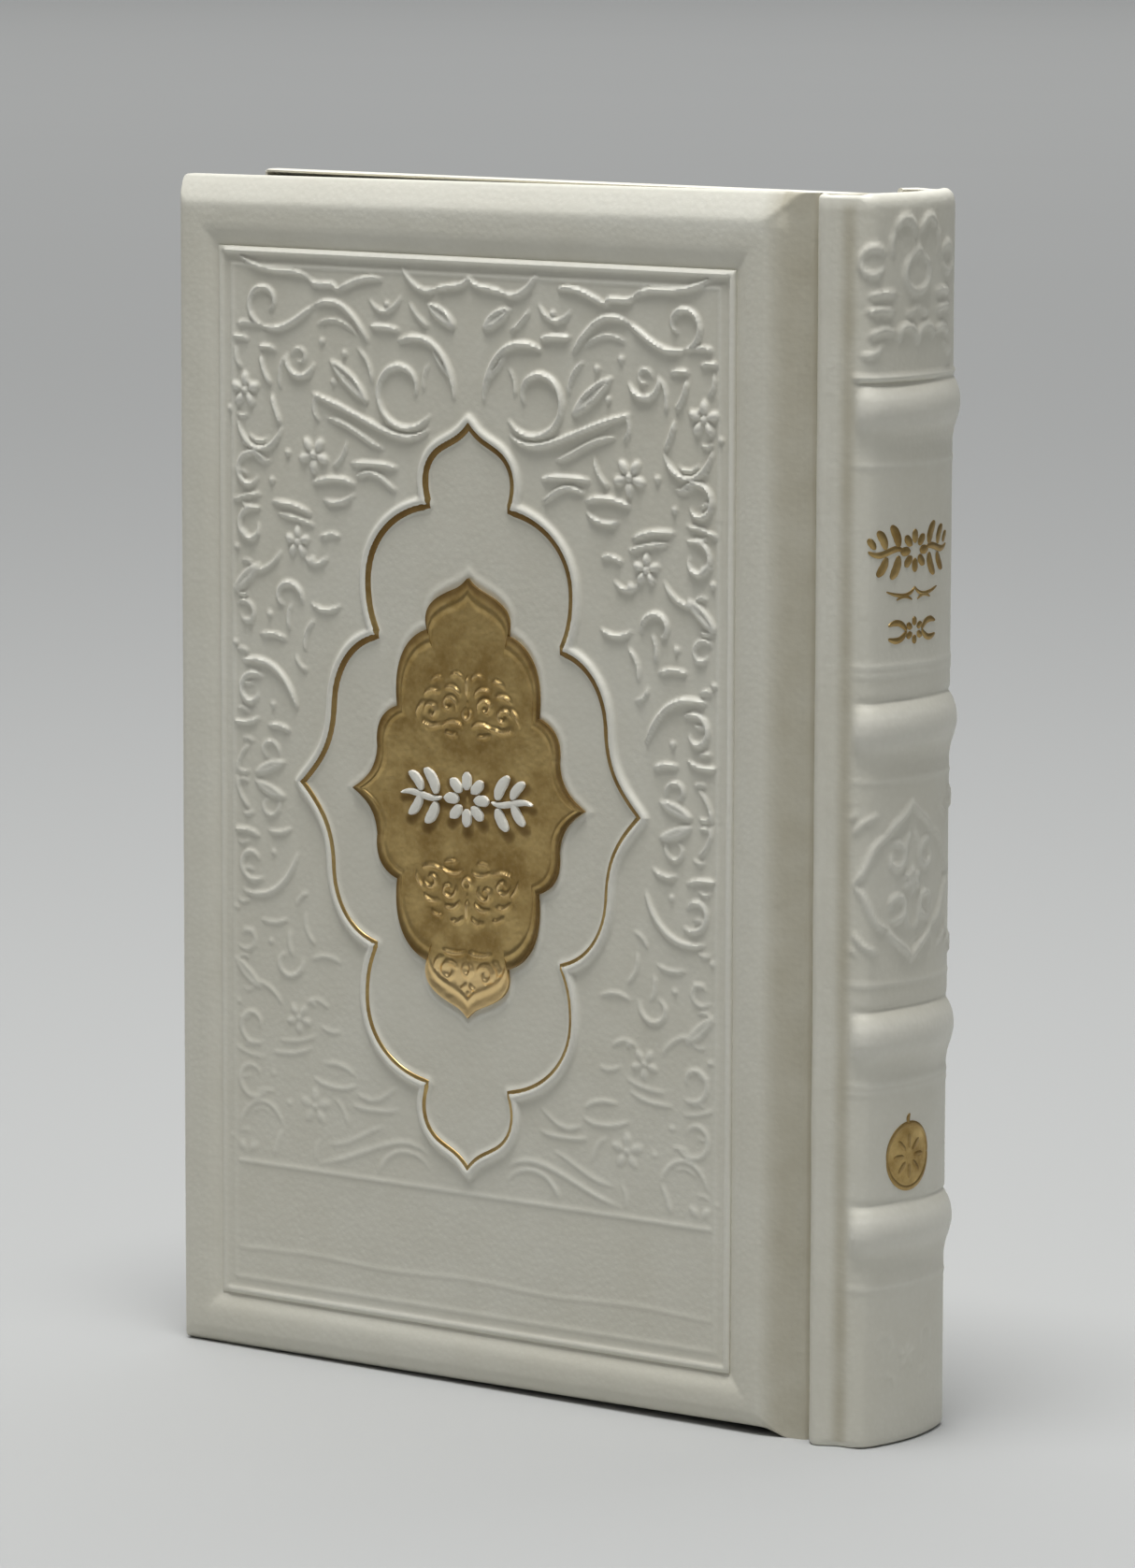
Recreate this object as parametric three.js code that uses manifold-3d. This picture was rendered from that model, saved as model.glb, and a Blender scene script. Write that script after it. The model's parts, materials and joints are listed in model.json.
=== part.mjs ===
// A leather-bound prayer book standing on its tail edge, as a scene graph.
// Millimetres, +Z up. The origin is at the middle of the footprint, on the surface it stands on.
// X runs from the fore edge (-X) to the rounded spine (+X); the front cover faces -Y.
import * as THREE from 'three';
import { mergeVertices } from 'three/addons/utils/BufferGeometryUtils.js';
import Module from 'manifold-3d';

const wasm = await Module();
wasm.setup();

// Driving dimensions
const bookHeight = 175;
const bookThickness = 25;
const spineApex = 124;          // fore edge to the spine leather, without the bands
const bandHeight = 1.1;         // how far a raised band stands out
const square = 3;               // cover overhang past the leaves
const skin = 0.8;               // leather thickness
const gap = 0.15;               // air between pieces that are glued on the real book

// Covers: distances from the fore edge, and depths from the middle plane
const coverLength = 107.2;
const boardEdge = 106.4;
const coverOuter = bookThickness / 2;
const panelDepth = coverOuter - 0.5;
const padOuter = panelDepth - skin - 0.1;
const padThickness = 0.6;
const boardOuter = padOuter - padThickness - 0.05;
const boardThickness = 1.75;
const pocketFloor = boardOuter - boardThickness - 0.1;
const coverInner = pocketFloor - 0.4;
const turnIn = 12;
const pastedownThickness = 0.2;
const panel = { left: 7.3, right: 100, bottom: 8.1, top: 164.9 };

// Text block
const sectionCount = 14;
const sectionPitch = 1;
const sectionThickness = 0.9;
const foldThickness = 1.3;
const foreEdgeHollow = 2.6;
const backingStart = 112;
const backingAngle = THREE.MathUtils.degToRad(23);
const leafThickness = 0.2;
const leafEnd = 108;

// Spine: layers as radii round one vertical line, and a tighter bend at each shoulder
const spineRadius = 27;
const spineCentre = spineApex - spineRadius;
const blockRadius = 23.8;
const tapeRadius = 24.25;
const mullRadius = 24.6;
const liningRadius = 24.95;
const stiffenerRadius = spineRadius - skin - gap;
const stiffenerThickness = 0.6;
const arcHalfAngle = THREE.MathUtils.degToRad(23);
const bandHalfAngle = THREE.MathUtils.degToRad(19);
const bandFadeEnd = THREE.MathUtils.degToRad(75);
const shoulderRadius = 3.2;
const arcSteps = 12;
const shoulderSteps = 6;

// Heights on the spine, from the tail
const bandCentres = [146.5, 102, 58.5, 30.8];
const bandWidth = 5;
const bandSlope = 1.2;
const tapeCentres = [35, 87.5, 140];
const tapeWidth = 12;

// Gold foil on the front cover, from the middle of the panel
const foilThickness = 0.12;
const foilLift = 0.03;
const foilLineWidth = 0.9;
const ornamentCentre = { x: 53.5, z: 86.6 };

// Gold foil on the spine: height of the middle, height, half the width round the spine
const spineOrnaments = {
  spine_upper_foil_ornament: { middle: 126.5, height: 7, halfWidth: 5.6 },
  spine_foil_flourish: { middle: 120.6, height: 2, halfWidth: 4.2 },
  spine_small_foil_ornament: { middle: 115.4, height: 4, halfWidth: 3.4 },
  spine_foil_seal: { middle: 41.6, height: 9.6, halfWidth: 3.2 },
};

const bookLength = spineApex + bandHeight;
const group = new THREE.Group();
group.position.x = -bookLength / 2;
group.updateMatrixWorld(true);

const finishes = {
  leather: { color: 0xb9b7a8, roughness: 0.55, metalness: 0 },
  foil: { color: 0xa98a48, roughness: 0.35, metalness: 1 },
  board: { color: 0x8d8a80, roughness: 0.9, metalness: 0 },
  foam: { color: 0xe6e4dc, roughness: 0.95, metalness: 0 },
  paper: { color: 0xeeeade, roughness: 0.85, metalness: 0 },
  endpaper: { color: 0xf1eee4, roughness: 0.8, metalness: 0 },
  cloth: { color: 0xe2ddcc, roughness: 0.95, metalness: 0 },
  thread: { color: 0xd8c48a, roughness: 0.8, metalness: 0 },
};

function addPiece(name, geometry, finish) {
  const material = new THREE.MeshStandardMaterial(finishes[finish]);
  const mesh = new THREE.Mesh(geometry, material);
  mesh.name = name;
  group.add(mesh);
}

// Turns the faces outward whichever way the rings were laid.
function outward(positions, index) {
  let volume = 0;
  const corners = [new THREE.Vector3(), new THREE.Vector3(), new THREE.Vector3()];
  for (let i = 0; i < index.length; i += 3) {
    corners.forEach((corner, k) => corner.fromArray(positions, index[i + k] * 3));
    volume += corners[0].dot(corners[1].cross(corners[2]));
  }
  if (volume < 0) {
    index.reverse();
  }
  const geometry = new THREE.BufferGeometry();
  geometry.setAttribute('position', new THREE.Float32BufferAttribute(positions, 3));
  geometry.setIndex(index);
  return geometry;
}

// A closed solid over rings that have the same number of points, with a fan at each end.
function ringSolid(rings) {
  const count = rings[0].length;
  const positions = [];
  const index = [];
  for (const ring of rings) {
    ring.forEach((point) => positions.push(point.x, point.y, point.z));
  }
  for (let r = 0; r < rings.length - 1; r += 1) {
    for (let i = 0; i < count; i += 1) {
      const a = r * count + i;
      const b = r * count + ((i + 1) % count);
      index.push(a, b, b + count, a, b + count, a + count);
    }
  }
  for (const [r, flip] of [[0, true], [rings.length - 1, false]]) {
    const middle = new THREE.Vector3();
    rings[r].forEach((point) => middle.add(point));
    middle.divideScalar(count);
    const centre = positions.length / 3;
    positions.push(middle.x, middle.y, middle.z);
    for (let i = 0; i < count; i += 1) {
      const a = r * count + i;
      const b = r * count + ((i + 1) % count);
      index.push(centre, flip ? b : a, flip ? a : b);
    }
  }
  return outward(positions, index);
}

// A closed strip: at each level an outer and an inner line in plan, joined by quads.
function stripSolid(levels) {
  const count = levels[0].outer.length;
  const positions = [];
  const index = [];
  for (const level of levels) {
    for (const point of [...level.outer, ...level.inner]) {
      positions.push(point.x, point.y, level.z);
    }
  }
  const outerAt = (l, i) => l * 2 * count + i;
  const innerAt = (l, i) => outerAt(l, i) + count;
  const quad = (a, b, c, d) => index.push(a, b, c, a, c, d);
  const last = levels.length - 1;
  for (let l = 0; l < last; l += 1) {
    for (let i = 0; i < count - 1; i += 1) {
      quad(outerAt(l, i), outerAt(l, i + 1), outerAt(l + 1, i + 1), outerAt(l + 1, i));
      quad(innerAt(l, i + 1), innerAt(l, i), innerAt(l + 1, i), innerAt(l + 1, i + 1));
    }
    quad(innerAt(l, 0), outerAt(l, 0), outerAt(l + 1, 0), innerAt(l + 1, 0));
    const end = count - 1;
    quad(outerAt(l, end), innerAt(l, end), innerAt(l + 1, end), outerAt(l + 1, end));
  }
  for (let i = 0; i < count - 1; i += 1) {
    quad(innerAt(0, i), innerAt(0, i + 1), outerAt(0, i + 1), outerAt(0, i));
    quad(outerAt(last, i), outerAt(last, i + 1), innerAt(last, i + 1), innerAt(last, i));
  }
  return outward(positions, index);
}

function arcLine(radius, halfAngle, steps = arcSteps) {
  const points = [];
  for (let i = 0; i <= steps; i += 1) {
    const angle = -halfAngle + (2 * halfAngle * i) / steps;
    const across = radius * Math.cos(angle);
    points.push(new THREE.Vector2(spineCentre + across, radius * Math.sin(angle)));
  }
  return points;
}

function arcStrip(outerRadius, thickness, halfAngle, bottom, top) {
  const outer = arcLine(outerRadius, halfAngle);
  const inner = arcLine(outerRadius - thickness, halfAngle);
  return stripSolid([{ z: bottom, outer, inner }, { z: top, outer, inner }]);
}

// Moves a line in plan sideways by a distance, along its own normals.
function offsetLine(points, distance) {
  return points.map((point, i) => {
    const before = points[Math.max(i - 1, 0)];
    const after = points[Math.min(i + 1, points.length - 1)];
    const along = new THREE.Vector2().subVectors(after, before).normalize();
    return new THREE.Vector2(point.x - along.y * distance, point.y + along.x * distance);
  });
}

function box(left, right, nearY, farY, bottom, top) {
  const geometry = new THREE.BoxGeometry(right - left, farY - nearY, top - bottom);
  geometry.translate((left + right) / 2, (nearY + farY) / 2, (bottom + top) / 2);
  return geometry;
}

function toManifold(geometry) {
  const bare = geometry.clone();
  bare.deleteAttribute('normal');
  bare.deleteAttribute('uv');
  const merged = mergeVertices(bare, 1e-4);
  const mesh = new wasm.Mesh({
    numProp: 3,
    vertProperties: new Float32Array(merged.attributes.position.array),
    triVerts: new Uint32Array(merged.index.array),
  });
  return new wasm.Manifold(mesh);
}

function fromManifold(solid) {
  const mesh = solid.getMesh();
  const geometry = new THREE.BufferGeometry();
  geometry.setAttribute('position', new THREE.BufferAttribute(mesh.vertProperties, 3));
  geometry.setIndex(new THREE.BufferAttribute(mesh.triVerts, 1));
  return geometry;
}

// A slab between two depths on one side of the middle plane; side is -1 at the front, +1 at the back.
function sideBox(side, left, right, inner, outer, bottom, top) {
  const nearY = Math.min(side * inner, side * outer);
  const farY = Math.max(side * inner, side * outer);
  return box(left, right, nearY, farY, bottom, top);
}

// ---- Text block: folded sections, rounded and backed at the spine ----

// Centre line of one section: straight from the fore edge, then bent out over the shoulder.
function sectionLine(offset) {
  const share = offset / ((sectionCount * sectionPitch) / 2);
  const angle = share * backingAngle;
  const fold = new THREE.Vector2(
    spineCentre + blockRadius * Math.cos(angle),
    blockRadius * Math.sin(angle),
  );
  const foreEdge = square + 0.2 + foreEdgeHollow * (1 - share * share);
  const bend = new THREE.QuadraticBezierCurve(
    new THREE.Vector2(backingStart, offset),
    new THREE.Vector2((backingStart + fold.x) / 2, offset + (fold.y - offset) * 0.15),
    fold,
  );
  return [new THREE.Vector2(foreEdge, offset), ...bend.getPoints(5)];
}

function sectionOutline(offset) {
  const centre = sectionLine(offset);
  const last = centre.length - 1;
  const widthAt = (i) => (i < 2 ? sectionThickness
    : sectionThickness + ((foldThickness - sectionThickness) * (i - 1)) / (last - 1));
  const sides = [1, -1].map((sign) => centre.map((point, i) => {
    const before = centre[Math.max(i - 1, 0)];
    const after = centre[Math.min(i + 1, last)];
    const along = new THREE.Vector2().subVectors(after, before).normalize();
    const half = (sign * widthAt(i)) / 2;
    return new THREE.Vector2(point.x - along.y * half, point.y + along.x * half);
  }));
  const tip = new THREE.Vector2().subVectors(centre[last], centre[last - 1]).normalize();
  const crown = centre[last].clone().addScaledVector(tip, 0.3);
  return [...sides[0], crown, ...sides[1].reverse()];
}

for (let i = 0; i < sectionCount; i += 1) {
  const offset = (i - (sectionCount - 1) / 2) * sectionPitch;
  const outline = new THREE.Shape(sectionOutline(offset));
  const depth = bookHeight - 2 * square;
  const geometry = new THREE.ExtrudeGeometry(outline, { depth, bevelEnabled: false });
  geometry.translate(0, 0, square);
  addPiece(`section_${String(i + 1).padStart(2, '0')}`, geometry, 'paper');
}

// Sewing tapes, open cloth and paper lining lie one over the other on the folds.
tapeCentres.forEach((middle, i) => {
  const strip = arcStrip(tapeRadius + 0.15, 0.2, backingAngle, middle - tapeWidth / 2,
    middle + tapeWidth / 2);
  addPiece(`sewing_tape_${i + 1}`, strip, 'cloth');
});
addPiece('spine_mull', arcStrip(mullRadius + 0.05, 0.15, backingAngle, 12, bookHeight - 12), 'cloth');
addPiece('spine_lining', arcStrip(liningRadius, 0.2, backingAngle, 6, bookHeight - 6), 'paper');

// Striped bands stand on the ends of the folds.
const endBandRadius = 0.7;
function endBand(height) {
  const line = arcLine(blockRadius - 0.6, backingAngle * 0.9);
  const path = new THREE.CatmullRomCurve3(line.map((p) => new THREE.Vector3(p.x, p.y, height)));
  const profile = new THREE.Shape();
  profile.absarc(0, 0, endBandRadius, 0, 2 * Math.PI);
  return new THREE.ExtrudeGeometry(profile, { extrudePath: path, steps: 24, curveSegments: 8 });
}
addPiece('headband', endBand(bookHeight - square + endBandRadius + 0.05), 'thread');
addPiece('tailband', endBand(square - endBandRadius - 0.05), 'thread');

// ---- Spine: stiffener, raised bands and the leather over them ----

const spineBottom = 1.2;
const spineTop = bookHeight - spineBottom;
addPiece('spine_stiffener',
  arcStrip(stiffenerRadius, stiffenerThickness, bandHalfAngle, spineBottom, spineTop), 'board');

bandCentres.forEach((middle, i) => {
  const inner = stiffenerRadius + 0.05;
  const outer = spineRadius - skin + bandHeight - gap;
  const strip = arcStrip(outer, outer - inner, bandHalfAngle, middle - bandWidth / 2 + 0.3,
    middle + bandWidth / 2 - 0.3);
  addPiece(`raised_band_${i + 1}`, strip, 'board');
});

// Leather in plan from the seam at the joint, over the shoulder and round the spine.
const seamToShoulder = [
  new THREE.Vector2(113.7, -11.7),
  new THREE.Vector2(114.5, -12.2),
  new THREE.Vector2(116, -12.45),
];

// Share of a band's height that shows where the leather faces an angle off +X: it fades round the
// shoulder.
function bandShare(angle) {
  const fade = (Math.abs(angle) - arcHalfAngle) / (bandFadeEnd - arcHalfAngle);
  return 1 - THREE.MathUtils.clamp(fade, 0, 1);
}

function spineLevel(z, rise) {
  const bendX = spineCentre + (spineRadius - shoulderRadius) * Math.cos(arcHalfAngle);
  const bendY = -(spineRadius - shoulderRadius) * Math.sin(arcHalfAngle);
  const bend = [];
  for (let i = 0; i < shoulderSteps; i += 1) {
    const angle = Math.PI / 2 + ((arcHalfAngle - Math.PI / 2) * i) / shoulderSteps;
    const radius = shoulderRadius + rise * bandShare(angle);
    bend.push(new THREE.Vector2(bendX + radius * Math.cos(angle), bendY - radius * Math.sin(angle)));
  }
  const near = [...seamToShoulder, ...bend];
  const far = near.map((point) => new THREE.Vector2(point.x, -point.y)).reverse();
  const outer = [...near, ...arcLine(spineRadius + rise, arcHalfAngle), ...far];
  return { z, outer, inner: offsetLine(outer, skin) };
}

const spineLevels = [spineLevel(0, 0)];
for (const middle of [...bandCentres].reverse()) {
  spineLevels.push(spineLevel(middle - bandWidth / 2 - bandSlope, 0));
  spineLevels.push(spineLevel(middle - bandWidth / 2, bandHeight));
  spineLevels.push(spineLevel(middle + bandWidth / 2, bandHeight));
  spineLevels.push(spineLevel(middle + bandWidth / 2 + bandSlope, 0));
}
spineLevels.push(spineLevel(bookHeight, 0));
addPiece('spine_leather', stripSolid(spineLevels), 'leather');

for (const [name, spot] of Object.entries(spineOrnaments)) {
  const halfAngle = spot.halfWidth / spineRadius;
  const radius = spineRadius + foilThickness + gap;
  const bottom = spot.middle - spot.height / 2;
  addPiece(name, arcStrip(radius, foilThickness, halfAngle, bottom, bottom + spot.height), 'foil');
}

// ---- Joints: the leather dips into a groove between board and shoulder ----

const groove = [
  new THREE.Vector2(107.5, -11.75),
  new THREE.Vector2(108.6, -10.95),
  new THREE.Vector2(110, -10.55),
  new THREE.Vector2(111.6, -10.75),
  new THREE.Vector2(113.2, -11.45),
];
for (const [name, side] of [['front_joint_leather', 1], ['back_joint_leather', -1]]) {
  const outer = groove.map((point) => new THREE.Vector2(point.x, point.y * side));
  const inner = offsetLine(outer, skin * side);
  addPiece(name, stripSolid([{ z: 0, outer, inner }, { z: bookHeight, outer, inner }]), 'leather');
}

// ---- Covers: padded boards in leather with the edges turned in ----

const cornerRadius = 1.6;
const cornerSteps = 4;

// Rounded rectangle in the plane of a cover, at one depth.
function coverRing(y, left, right, bottom, top, radius) {
  const corners = [
    [right - radius, top - radius, 0],
    [left + radius, top - radius, 1],
    [left + radius, bottom + radius, 2],
    [right - radius, bottom + radius, 3],
  ];
  const ring = [];
  for (const [x, z, quarter] of corners) {
    for (let i = 0; i <= cornerSteps; i += 1) {
      const angle = ((quarter + i / cornerSteps) * Math.PI) / 2;
      ring.push(new THREE.Vector3(x + radius * Math.cos(angle), y, z + radius * Math.sin(angle)));
    }
  }
  return ring;
}

// Padded face: how far each ring lies in from the edge and how deep below the highest face.
const pillow = [
  { inset: 0, drop: 1.5 },
  { inset: 0.5, drop: 0.85 },
  { inset: 1.8, drop: 0.35 },
  { inset: 4.2, drop: 0 },
];

function coverLeather(side) {
  const ringAt = (inset, depth, radius) => coverRing(side * depth, inset, coverLength - inset,
    inset, bookHeight - inset, radius);
  const rim = 0.5;
  const rings = [
    ringAt(0, coverInner, cornerRadius),
    ...pillow.map(({ inset, drop }) => ringAt(inset, coverOuter - drop, cornerRadius)),
    coverRing(side * coverOuter, panel.left - rim * 2, panel.right + rim * 2, panel.bottom - rim * 2,
      panel.top + rim * 2, cornerRadius),
    coverRing(side * panelDepth, panel.left, panel.right, panel.bottom, panel.top, cornerRadius / 2),
  ];
  const pocket = sideBox(side, skin, coverLength + 1, pocketFloor, panelDepth - skin, skin,
    bookHeight - skin);
  const window = sideBox(side, turnIn, coverLength + 1, coverInner - 1, pocketFloor + 1, turnIn,
    bookHeight - turnIn);
  const solid = toManifold(ringSolid(rings));
  return fromManifold(solid.subtract(toManifold(pocket)).subtract(toManifold(window)));
}

function coverCore(name, side) {
  const edge = skin + gap;
  const top = bookHeight - edge;
  const slab = (inner, outer) => sideBox(side, edge, boardEdge, inner, outer, edge, top);
  addPiece(`${name}_pad`, slab(padOuter - padThickness, padOuter), 'foam');
  addPiece(`${name}_board`, slab(boardOuter - boardThickness, boardOuter), 'board');
  const margin = 4;
  const sheet = sideBox(side, margin, boardEdge, coverInner - 0.05 - pastedownThickness,
    coverInner - 0.05, margin, bookHeight - margin);
  addPiece(`${name}_pastedown`, sheet, 'endpaper');
}

for (const [name, side] of [['front', -1], ['back', 1]]) {
  addPiece(`${name}_leather`, coverLeather(side), 'leather');
  coverCore(name, side);
}

// ---- Gold foil on the front cover ----

// Quarter outlines from the top tip to the side tip, as cubic curves about the middle.
const cartoucheQuarter = [
  [[0, 54.6], [1.8, 52.4], [3, 52.2], [4.6, 51.3]],
  [[4.6, 51.3], [8.2, 49.6], [9, 46], [7.5, 42.4]],
  [[7.5, 42.4], [13.4, 41.6], [18.8, 37.2], [18.7, 30.4]],
  [[18.7, 30.4], [18.7, 27.2], [18, 25], [16.9, 22.8]],
  [[16.9, 22.8], [21.4, 21.8], [24.6, 17.8], [24.9, 12.4]],
  [[24.9, 12.4], [25.1, 6.6], [26.8, 4], [30.8, 0]],
];
const medallionQuarter = [
  [[0, 32.6], [1.4, 31], [2.6, 30.9], [4, 30.2]],
  [[4, 30.2], [7.2, 28.8], [8.2, 27], [7.4, 24.6]],
  [[7.4, 24.6], [11.2, 23.4], [13.8, 19.6], [12.9, 12.9]],
  [[12.9, 12.9], [16, 11.9], [17, 9.4], [16.6, 6.6]],
  [[16.6, 6.6], [16.8, 3.4], [18.4, 1.6], [21.3, 0]],
];

// The whole outline: the quarter, mirrored down, then mirrored left.
function fourfold(quarter, pointsPerCurve) {
  const right = [];
  for (const curve of quarter) {
    const corners = curve.map(([x, z]) => new THREE.Vector2(x, z));
    right.push(...new THREE.CubicBezierCurve(...corners).getPoints(pointsPerCurve).slice(0, -1));
  }
  const lower = right.slice(1).reverse().map((p) => new THREE.Vector2(p.x, -p.y));
  const tip = new THREE.Vector2(quarter.at(-1)[3][0], 0);
  const half = [...right, tip, ...lower, new THREE.Vector2(0, -quarter[0][0][1])];
  const left = half.slice(1, -1).reverse().map((p) => new THREE.Vector2(-p.x, p.y));
  return [...half, ...left];
}

// Closed outline moved inward by a distance, with mitred corners, for the inner edge of the line.
function inset(points, distance) {
  const count = points.length;
  const inward = (from, to) => {
    const along = new THREE.Vector2().subVectors(to, from).normalize();
    return new THREE.Vector2(along.y, -along.x);
  };
  return points.map((point, i) => {
    const first = inward(points[(i + count - 1) % count], point);
    const middle = first.clone().add(inward(point, points[(i + 1) % count])).normalize();
    const mitre = Math.max(middle.dot(first), 0.5);
    return point.clone().addScaledVector(middle, distance / mitre);
  });
}

function facePlate(shape, lift, thickness) {
  const geometry = new THREE.ExtrudeGeometry(shape, { depth: thickness, bevelEnabled: false });
  geometry.rotateX(Math.PI / 2);
  geometry.translate(ornamentCentre.x, -panelDepth - lift, ornamentCentre.z);
  return geometry;
}

// A closed band on the panel between an outer and an inner outline.
function loopSolid(outer, inner) {
  const near = panelDepth + foilLift + foilThickness;
  const far = panelDepth + foilLift;
  const at = (point, depth) => [ornamentCentre.x + point.x, -depth, ornamentCentre.z + point.y];
  const positions = [];
  const index = [];
  outer.forEach((point, i) => {
    for (const [side, depth] of [[point, near], [inner[i], near], [inner[i], far], [point, far]]) {
      positions.push(...at(side, depth));
    }
    const here = i * 4;
    const next = ((i + 1) % outer.length) * 4;
    for (let k = 0; k < 4; k += 1) {
      const l = (k + 1) % 4;
      index.push(here + k, next + k, next + l, here + k, next + l, here + l);
    }
  });
  return outward(positions, index);
}

const cartouche = fourfold(cartoucheQuarter, 6);
addPiece('cartouche_foil_line', loopSolid(cartouche, inset(cartouche, foilLineWidth)), 'foil');
const medallion = new THREE.Shape(fourfold(medallionQuarter, 5));
addPiece('medallion_foil', facePlate(medallion, foilLift, foilThickness), 'foil');

// An eight-petalled rosette in the middle of the medallion.
const rosetteRadius = 6;
const petals = 8;
const rosettePoints = [];
for (let i = 0; i < petals * 6; i += 1) {
  const angle = (i / (petals * 6)) * 2 * Math.PI;
  const radius = rosetteRadius * (0.82 + 0.18 * Math.cos(petals * angle));
  rosettePoints.push(new THREE.Vector2(radius * Math.cos(angle), radius * Math.sin(angle)));
}
addPiece('medallion_rosette',
  facePlate(new THREE.Shape(rosettePoints), foilLift * 2 + foilThickness, foilThickness * 2), 'foil');

// ---- Free leaves at the front and the back of the text block ----

const leafDepths = { flyleaf: 7.85, inner_leaf: 7.45 };
for (const [name, side] of [['front', -1], ['back', 1]]) {
  for (const [leaf, depth] of Object.entries(leafDepths)) {
    const sheet = sideBox(side, square + 0.2, leafEnd, depth - leafThickness, depth, square,
      bookHeight - square);
    addPiece(`${name}_${leaf}`, sheet, 'endpaper');
  }
}

export default group;
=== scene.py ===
import json
import math

import bpy
import numpy as np
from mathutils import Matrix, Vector


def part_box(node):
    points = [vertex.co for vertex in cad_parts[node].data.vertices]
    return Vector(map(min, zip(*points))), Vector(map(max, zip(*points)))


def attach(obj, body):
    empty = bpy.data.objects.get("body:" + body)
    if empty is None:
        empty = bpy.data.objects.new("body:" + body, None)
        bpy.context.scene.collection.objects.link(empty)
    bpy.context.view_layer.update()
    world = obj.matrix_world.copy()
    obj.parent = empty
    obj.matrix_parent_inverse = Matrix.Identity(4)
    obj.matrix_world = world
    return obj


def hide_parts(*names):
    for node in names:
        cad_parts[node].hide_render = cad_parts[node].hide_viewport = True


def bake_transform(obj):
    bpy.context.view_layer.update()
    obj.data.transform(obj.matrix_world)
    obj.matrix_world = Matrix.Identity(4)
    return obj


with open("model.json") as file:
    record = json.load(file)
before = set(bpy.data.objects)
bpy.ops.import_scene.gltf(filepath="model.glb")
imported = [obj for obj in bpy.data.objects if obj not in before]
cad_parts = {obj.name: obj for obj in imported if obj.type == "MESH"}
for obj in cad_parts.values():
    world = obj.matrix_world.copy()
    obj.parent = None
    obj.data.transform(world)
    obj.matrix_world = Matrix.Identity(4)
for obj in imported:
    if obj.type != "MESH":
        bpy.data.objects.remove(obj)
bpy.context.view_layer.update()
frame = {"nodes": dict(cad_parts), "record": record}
mm = 0.001
bookHeight = 175.0
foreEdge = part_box("front_leather")[0][0]      # x of the fore edge, everything is measured from here


# The camera comes before anything else.
cameraSettings = {
    "azimuth": 36.25,      # degrees towards the spine
    "elevation": 8.0,
    "distance": 1.017,
    "target": (-0.0159, 0.0217, 0.0845),
    "lens": 156.7,
    "roll": 0.17,
}


def makeCamera(s):
    a, e = math.radians(s["azimuth"]), math.radians(s["elevation"])
    back = Vector((math.sin(a) * math.cos(e), -math.cos(a) * math.cos(e), math.sin(e)))
    data = bpy.data.cameras.new("camera")
    data.sensor_fit = "VERTICAL"
    data.sensor_height = 36
    data.lens = s["lens"]
    data.clip_end = 100
    camera = bpy.data.objects.new("camera", data)
    camera.location = Vector(s["target"]) + back * s["distance"]
    turn = back.to_track_quat("Z", "Y").to_euler()
    camera.rotation_euler = turn
    camera.rotation_euler.rotate_axis("Z", math.radians(s["roll"]))
    bpy.context.scene.collection.objects.link(camera)
    bpy.context.scene.camera = camera


makeCamera(cameraSettings)
print("camera set")


# sRGB hex to the linear values that nodes want.
def linear(hexColour):
    out = []
    for i in (1, 3, 5):
        c = int(hexColour[i:i + 2], 16) / 255
        out.append(c / 12.92 if c <= 0.04045 else ((c + 0.055) / 1.055) ** 2.4)
    return (*out, 1)


def add(tree, kind, sockets=None, **settings):
    node = tree.nodes.new(kind)
    for key, value in settings.items():
        setattr(node, key, value)
    for key, value in (sockets or {}).items():
        if isinstance(value, bpy.types.NodeSocket):
            tree.links.new(value, node.inputs[key])
        else:
            node.inputs[key].default_value = value
    return node


def startMaterial(name):
    material = bpy.data.materials.new(name)
    material.use_nodes = True
    tree = material.node_tree
    place = add(tree, "ShaderNodeTexCoord").outputs["Object"]
    return material, tree, tree.nodes["Principled BSDF"], place


def noise(tree, place, sizeMm, detail=3, rough=0.5):
    return add(tree, "ShaderNodeTexNoise", {
        "Vector": place, "Scale": 1000 / sizeMm, "Detail": detail, "Roughness": rough,
    }).outputs["Fac"]


# Either colour can be a socket, linear values or sRGB hex.
def mixColour(tree, factor, a, b):
    a, b = (linear(colour) if isinstance(colour, str) else colour for colour in (a, b))
    return add(tree, "ShaderNodeMix", {0: factor, 6: a, 7: b}, data_type="RGBA").outputs[2]


def scaled(tree, value, low, high, fromLow=0.0, fromHigh=1.0):
    return add(tree, "ShaderNodeMapRange", {
        "Value": value, "From Min": fromLow, "From Max": fromHigh, "To Min": low, "To Max": high,
    }).outputs["Result"]


def bump(tree, shader, height, strength, depthMm, under=None):
    sockets = {"Height": height, "Strength": strength, "Distance": depthMm * mm}
    if under is not None:
        sockets["Normal"] = under
    normal = add(tree, "ShaderNodeBump", sockets).outputs["Normal"]
    tree.links.new(normal, shader.inputs["Normal"])
    return normal


def maths(tree, a, b, operation="ADD"):
    return add(tree, "ShaderNodeMath", {0: a, 1: b}, operation=operation).outputs[0]


def grainCells(tree, place, sizeMm, randomness=1.0):
    return add(tree, "ShaderNodeTexVoronoi", {
        "Vector": place, "Scale": 1000 / sizeMm, "Smoothness": 0.6, "Randomness": randomness,
    }, feature="SMOOTH_F1").outputs["Distance"]


def painted(tree, name):
    return add(tree, "ShaderNodeAttribute", attribute_name=name).outputs["Fac"]


def axisOf(tree, vector, axis):
    return add(tree, "ShaderNodeSeparateXYZ", {"Vector": vector}).outputs[axis]


def paint(tree, shader, base, roughness):
    tree.links.new(base, shader.inputs["Base Color"])
    shader.inputs["Roughness"].default_value = roughness


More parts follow.
